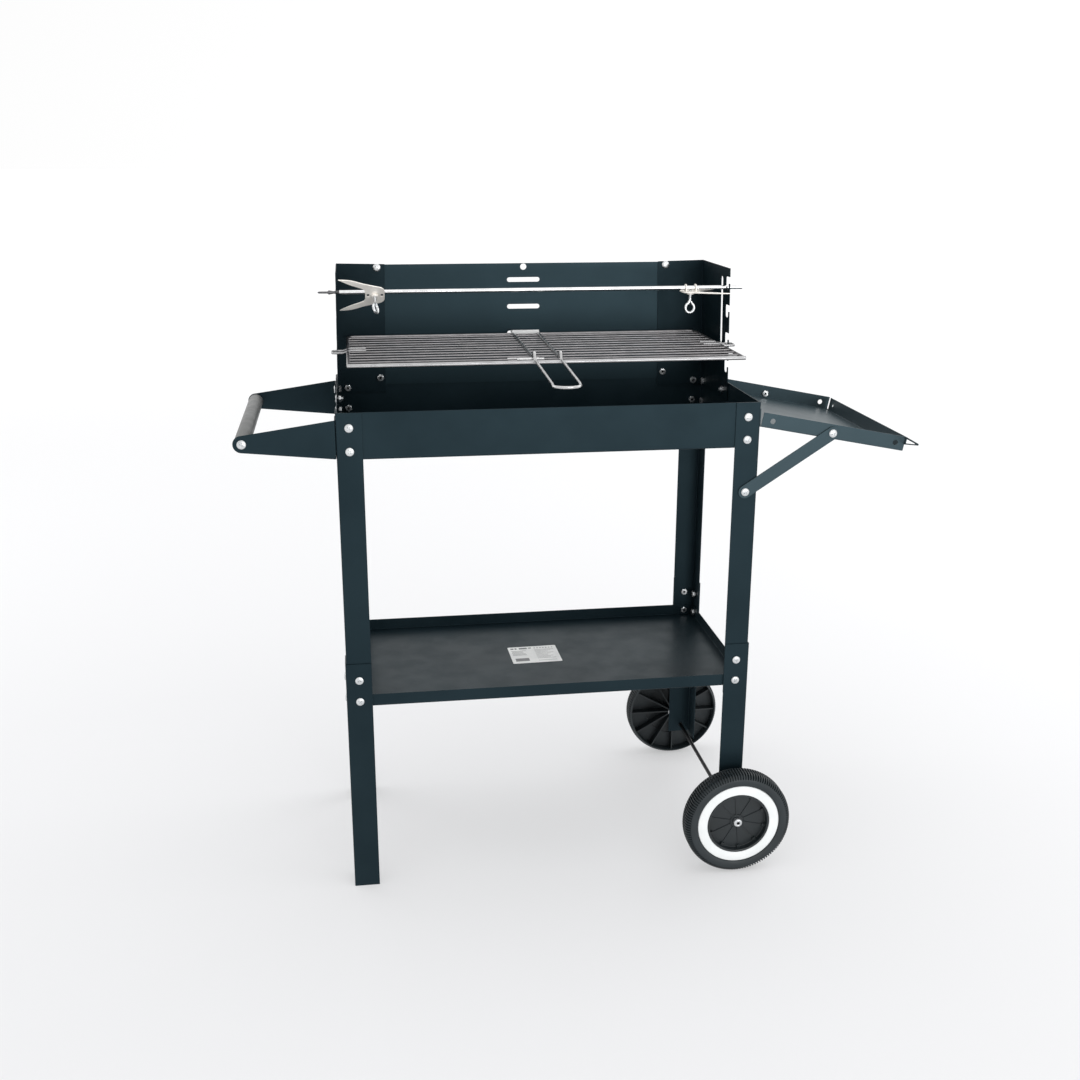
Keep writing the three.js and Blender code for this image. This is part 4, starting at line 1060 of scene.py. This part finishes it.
# ---- floor, backdrop and lights ----
FLOOR_RADII = (0.5, 2, 6, 20, 60)
# The floor's colour carries painted shade: darkest round FLOOR_DARKEST_PLACE, paler outwards.
FLOOR_DARKEST, FLOOR_PALEST = (0.41, 0.413, 0.425), (0.66, 0.66, 0.663)
FLOOR_DARKEST_PLACE = (-0.55, -0.2, 0)
FLOOR_PALING = (0.8, 6.0)     # how far from there it starts to get paler, and stops
FLOOR_GLOW = 0.42             # keeps the shadows on the floor pale
FLOOR_SEGMENTS = 64


def make_stage():
    """A plain floor, with painted shade round one spot, that gets paler with distance, so that it
    meets the backdrop softly.
    """
    floor = Surface("floor", FLOOR_DARKEST, 0.75)
    distance = floor.nodes.new("ShaderNodeVectorMath")
    distance.operation = "DISTANCE"
    floor.links.new(floor.place, distance.inputs[0])
    distance.inputs[1].default_value = FLOOR_DARKEST_PLACE
    paling = floor.spread(distance.outputs["Value"], 0, 1, FLOOR_PALING)
    floor.color_between(paling, FLOOR_DARKEST, FLOOR_PALEST)
    floor.bump(floor.noise(3, 2), 0.02, 1)
    floor.shader.inputs["Specular IOR Level"].default_value = 0.1
    floor.shader.inputs["Emission Color"].default_value = (1, 1, 1, 1)
    floor.shader.inputs["Emission Strength"].default_value = FLOOR_GLOW
    rings = []
    angles = [2 * math.pi * k / FLOOR_SEGMENTS for k in range(FLOOR_SEGMENTS)]
    for radius in FLOOR_RADII:
        rings.append([Vector((radius * math.cos(a), radius * math.sin(a), 0)) for a in angles])
    shape = Shape()
    shape.rings(rings, close_ends=False)
    shape.bm.faces.new([shape.bm.verts.new(point) for point in rings[0]])
    bmesh.ops.remove_doubles(shape.bm, verts=shape.bm.verts, dist=mm(0.1))
    shape.finish("floor", floor.material)


def soft_light(name, place, target, width, height, power):
    """A rectangular light that faces its target, in metres and watts."""
    data = bpy.data.lights.new(name, "AREA")
    data.shape = "RECTANGLE"
    data.size, data.size_y = width, height
    data.energy = power
    lamp = bpy.data.objects.new(name, data)
    scene.collection.objects.link(lamp)
    lamp.matrix_world = axis_place(Vector(place), Vector(place) - Vector(target))


def make_world(weakest, strongest, bright_side):
    """A white surrounding that is brighter on one side."""
    world = bpy.data.worlds.new("studio")
    world.use_nodes = True
    nodes, links = world.node_tree.nodes, world.node_tree.links
    direction = nodes.new("ShaderNodeTexCoord").outputs["Generated"]
    towards = nodes.new("ShaderNodeVectorMath")
    towards.operation = "DOT_PRODUCT"
    towards.inputs[1].default_value = Vector(bright_side).normalized()
    strength = nodes.new("ShaderNodeMapRange")
    strength.inputs["From Min"].default_value = -1
    strength.inputs["To Min"].default_value = weakest
    strength.inputs["To Max"].default_value = strongest
    links.new(direction, towards.inputs[0])
    links.new(towards.outputs["Value"], strength.inputs["Value"])
    links.new(strength.outputs["Result"], nodes["Background"].inputs["Strength"])
    nodes["Background"].inputs["Color"].default_value = (1, 1, 1, 1)
    scene.world = world


make_stage()
make_world(0.86, 1.14, (0.75, 0.1, -0.6))
TARGET = (0, 0, 0.55)
soft_light("overhead", (0.4, -0.3, 3.4), TARGET, 3.4, 2.6, 16)
soft_light("left_back", (-2.4, 0.9, 1.9), TARGET, 2.2, 2.2, 14)
soft_light("right_back", (2.5, 1.0, 2.1), TARGET, 2.8, 2.6, 20)
soft_light("front_right", (1.75, -6.0, 0.9), (0.1, 0, 0.8), 3.0, 1.8, 84)
scene.view_settings.view_transform = "Standard"
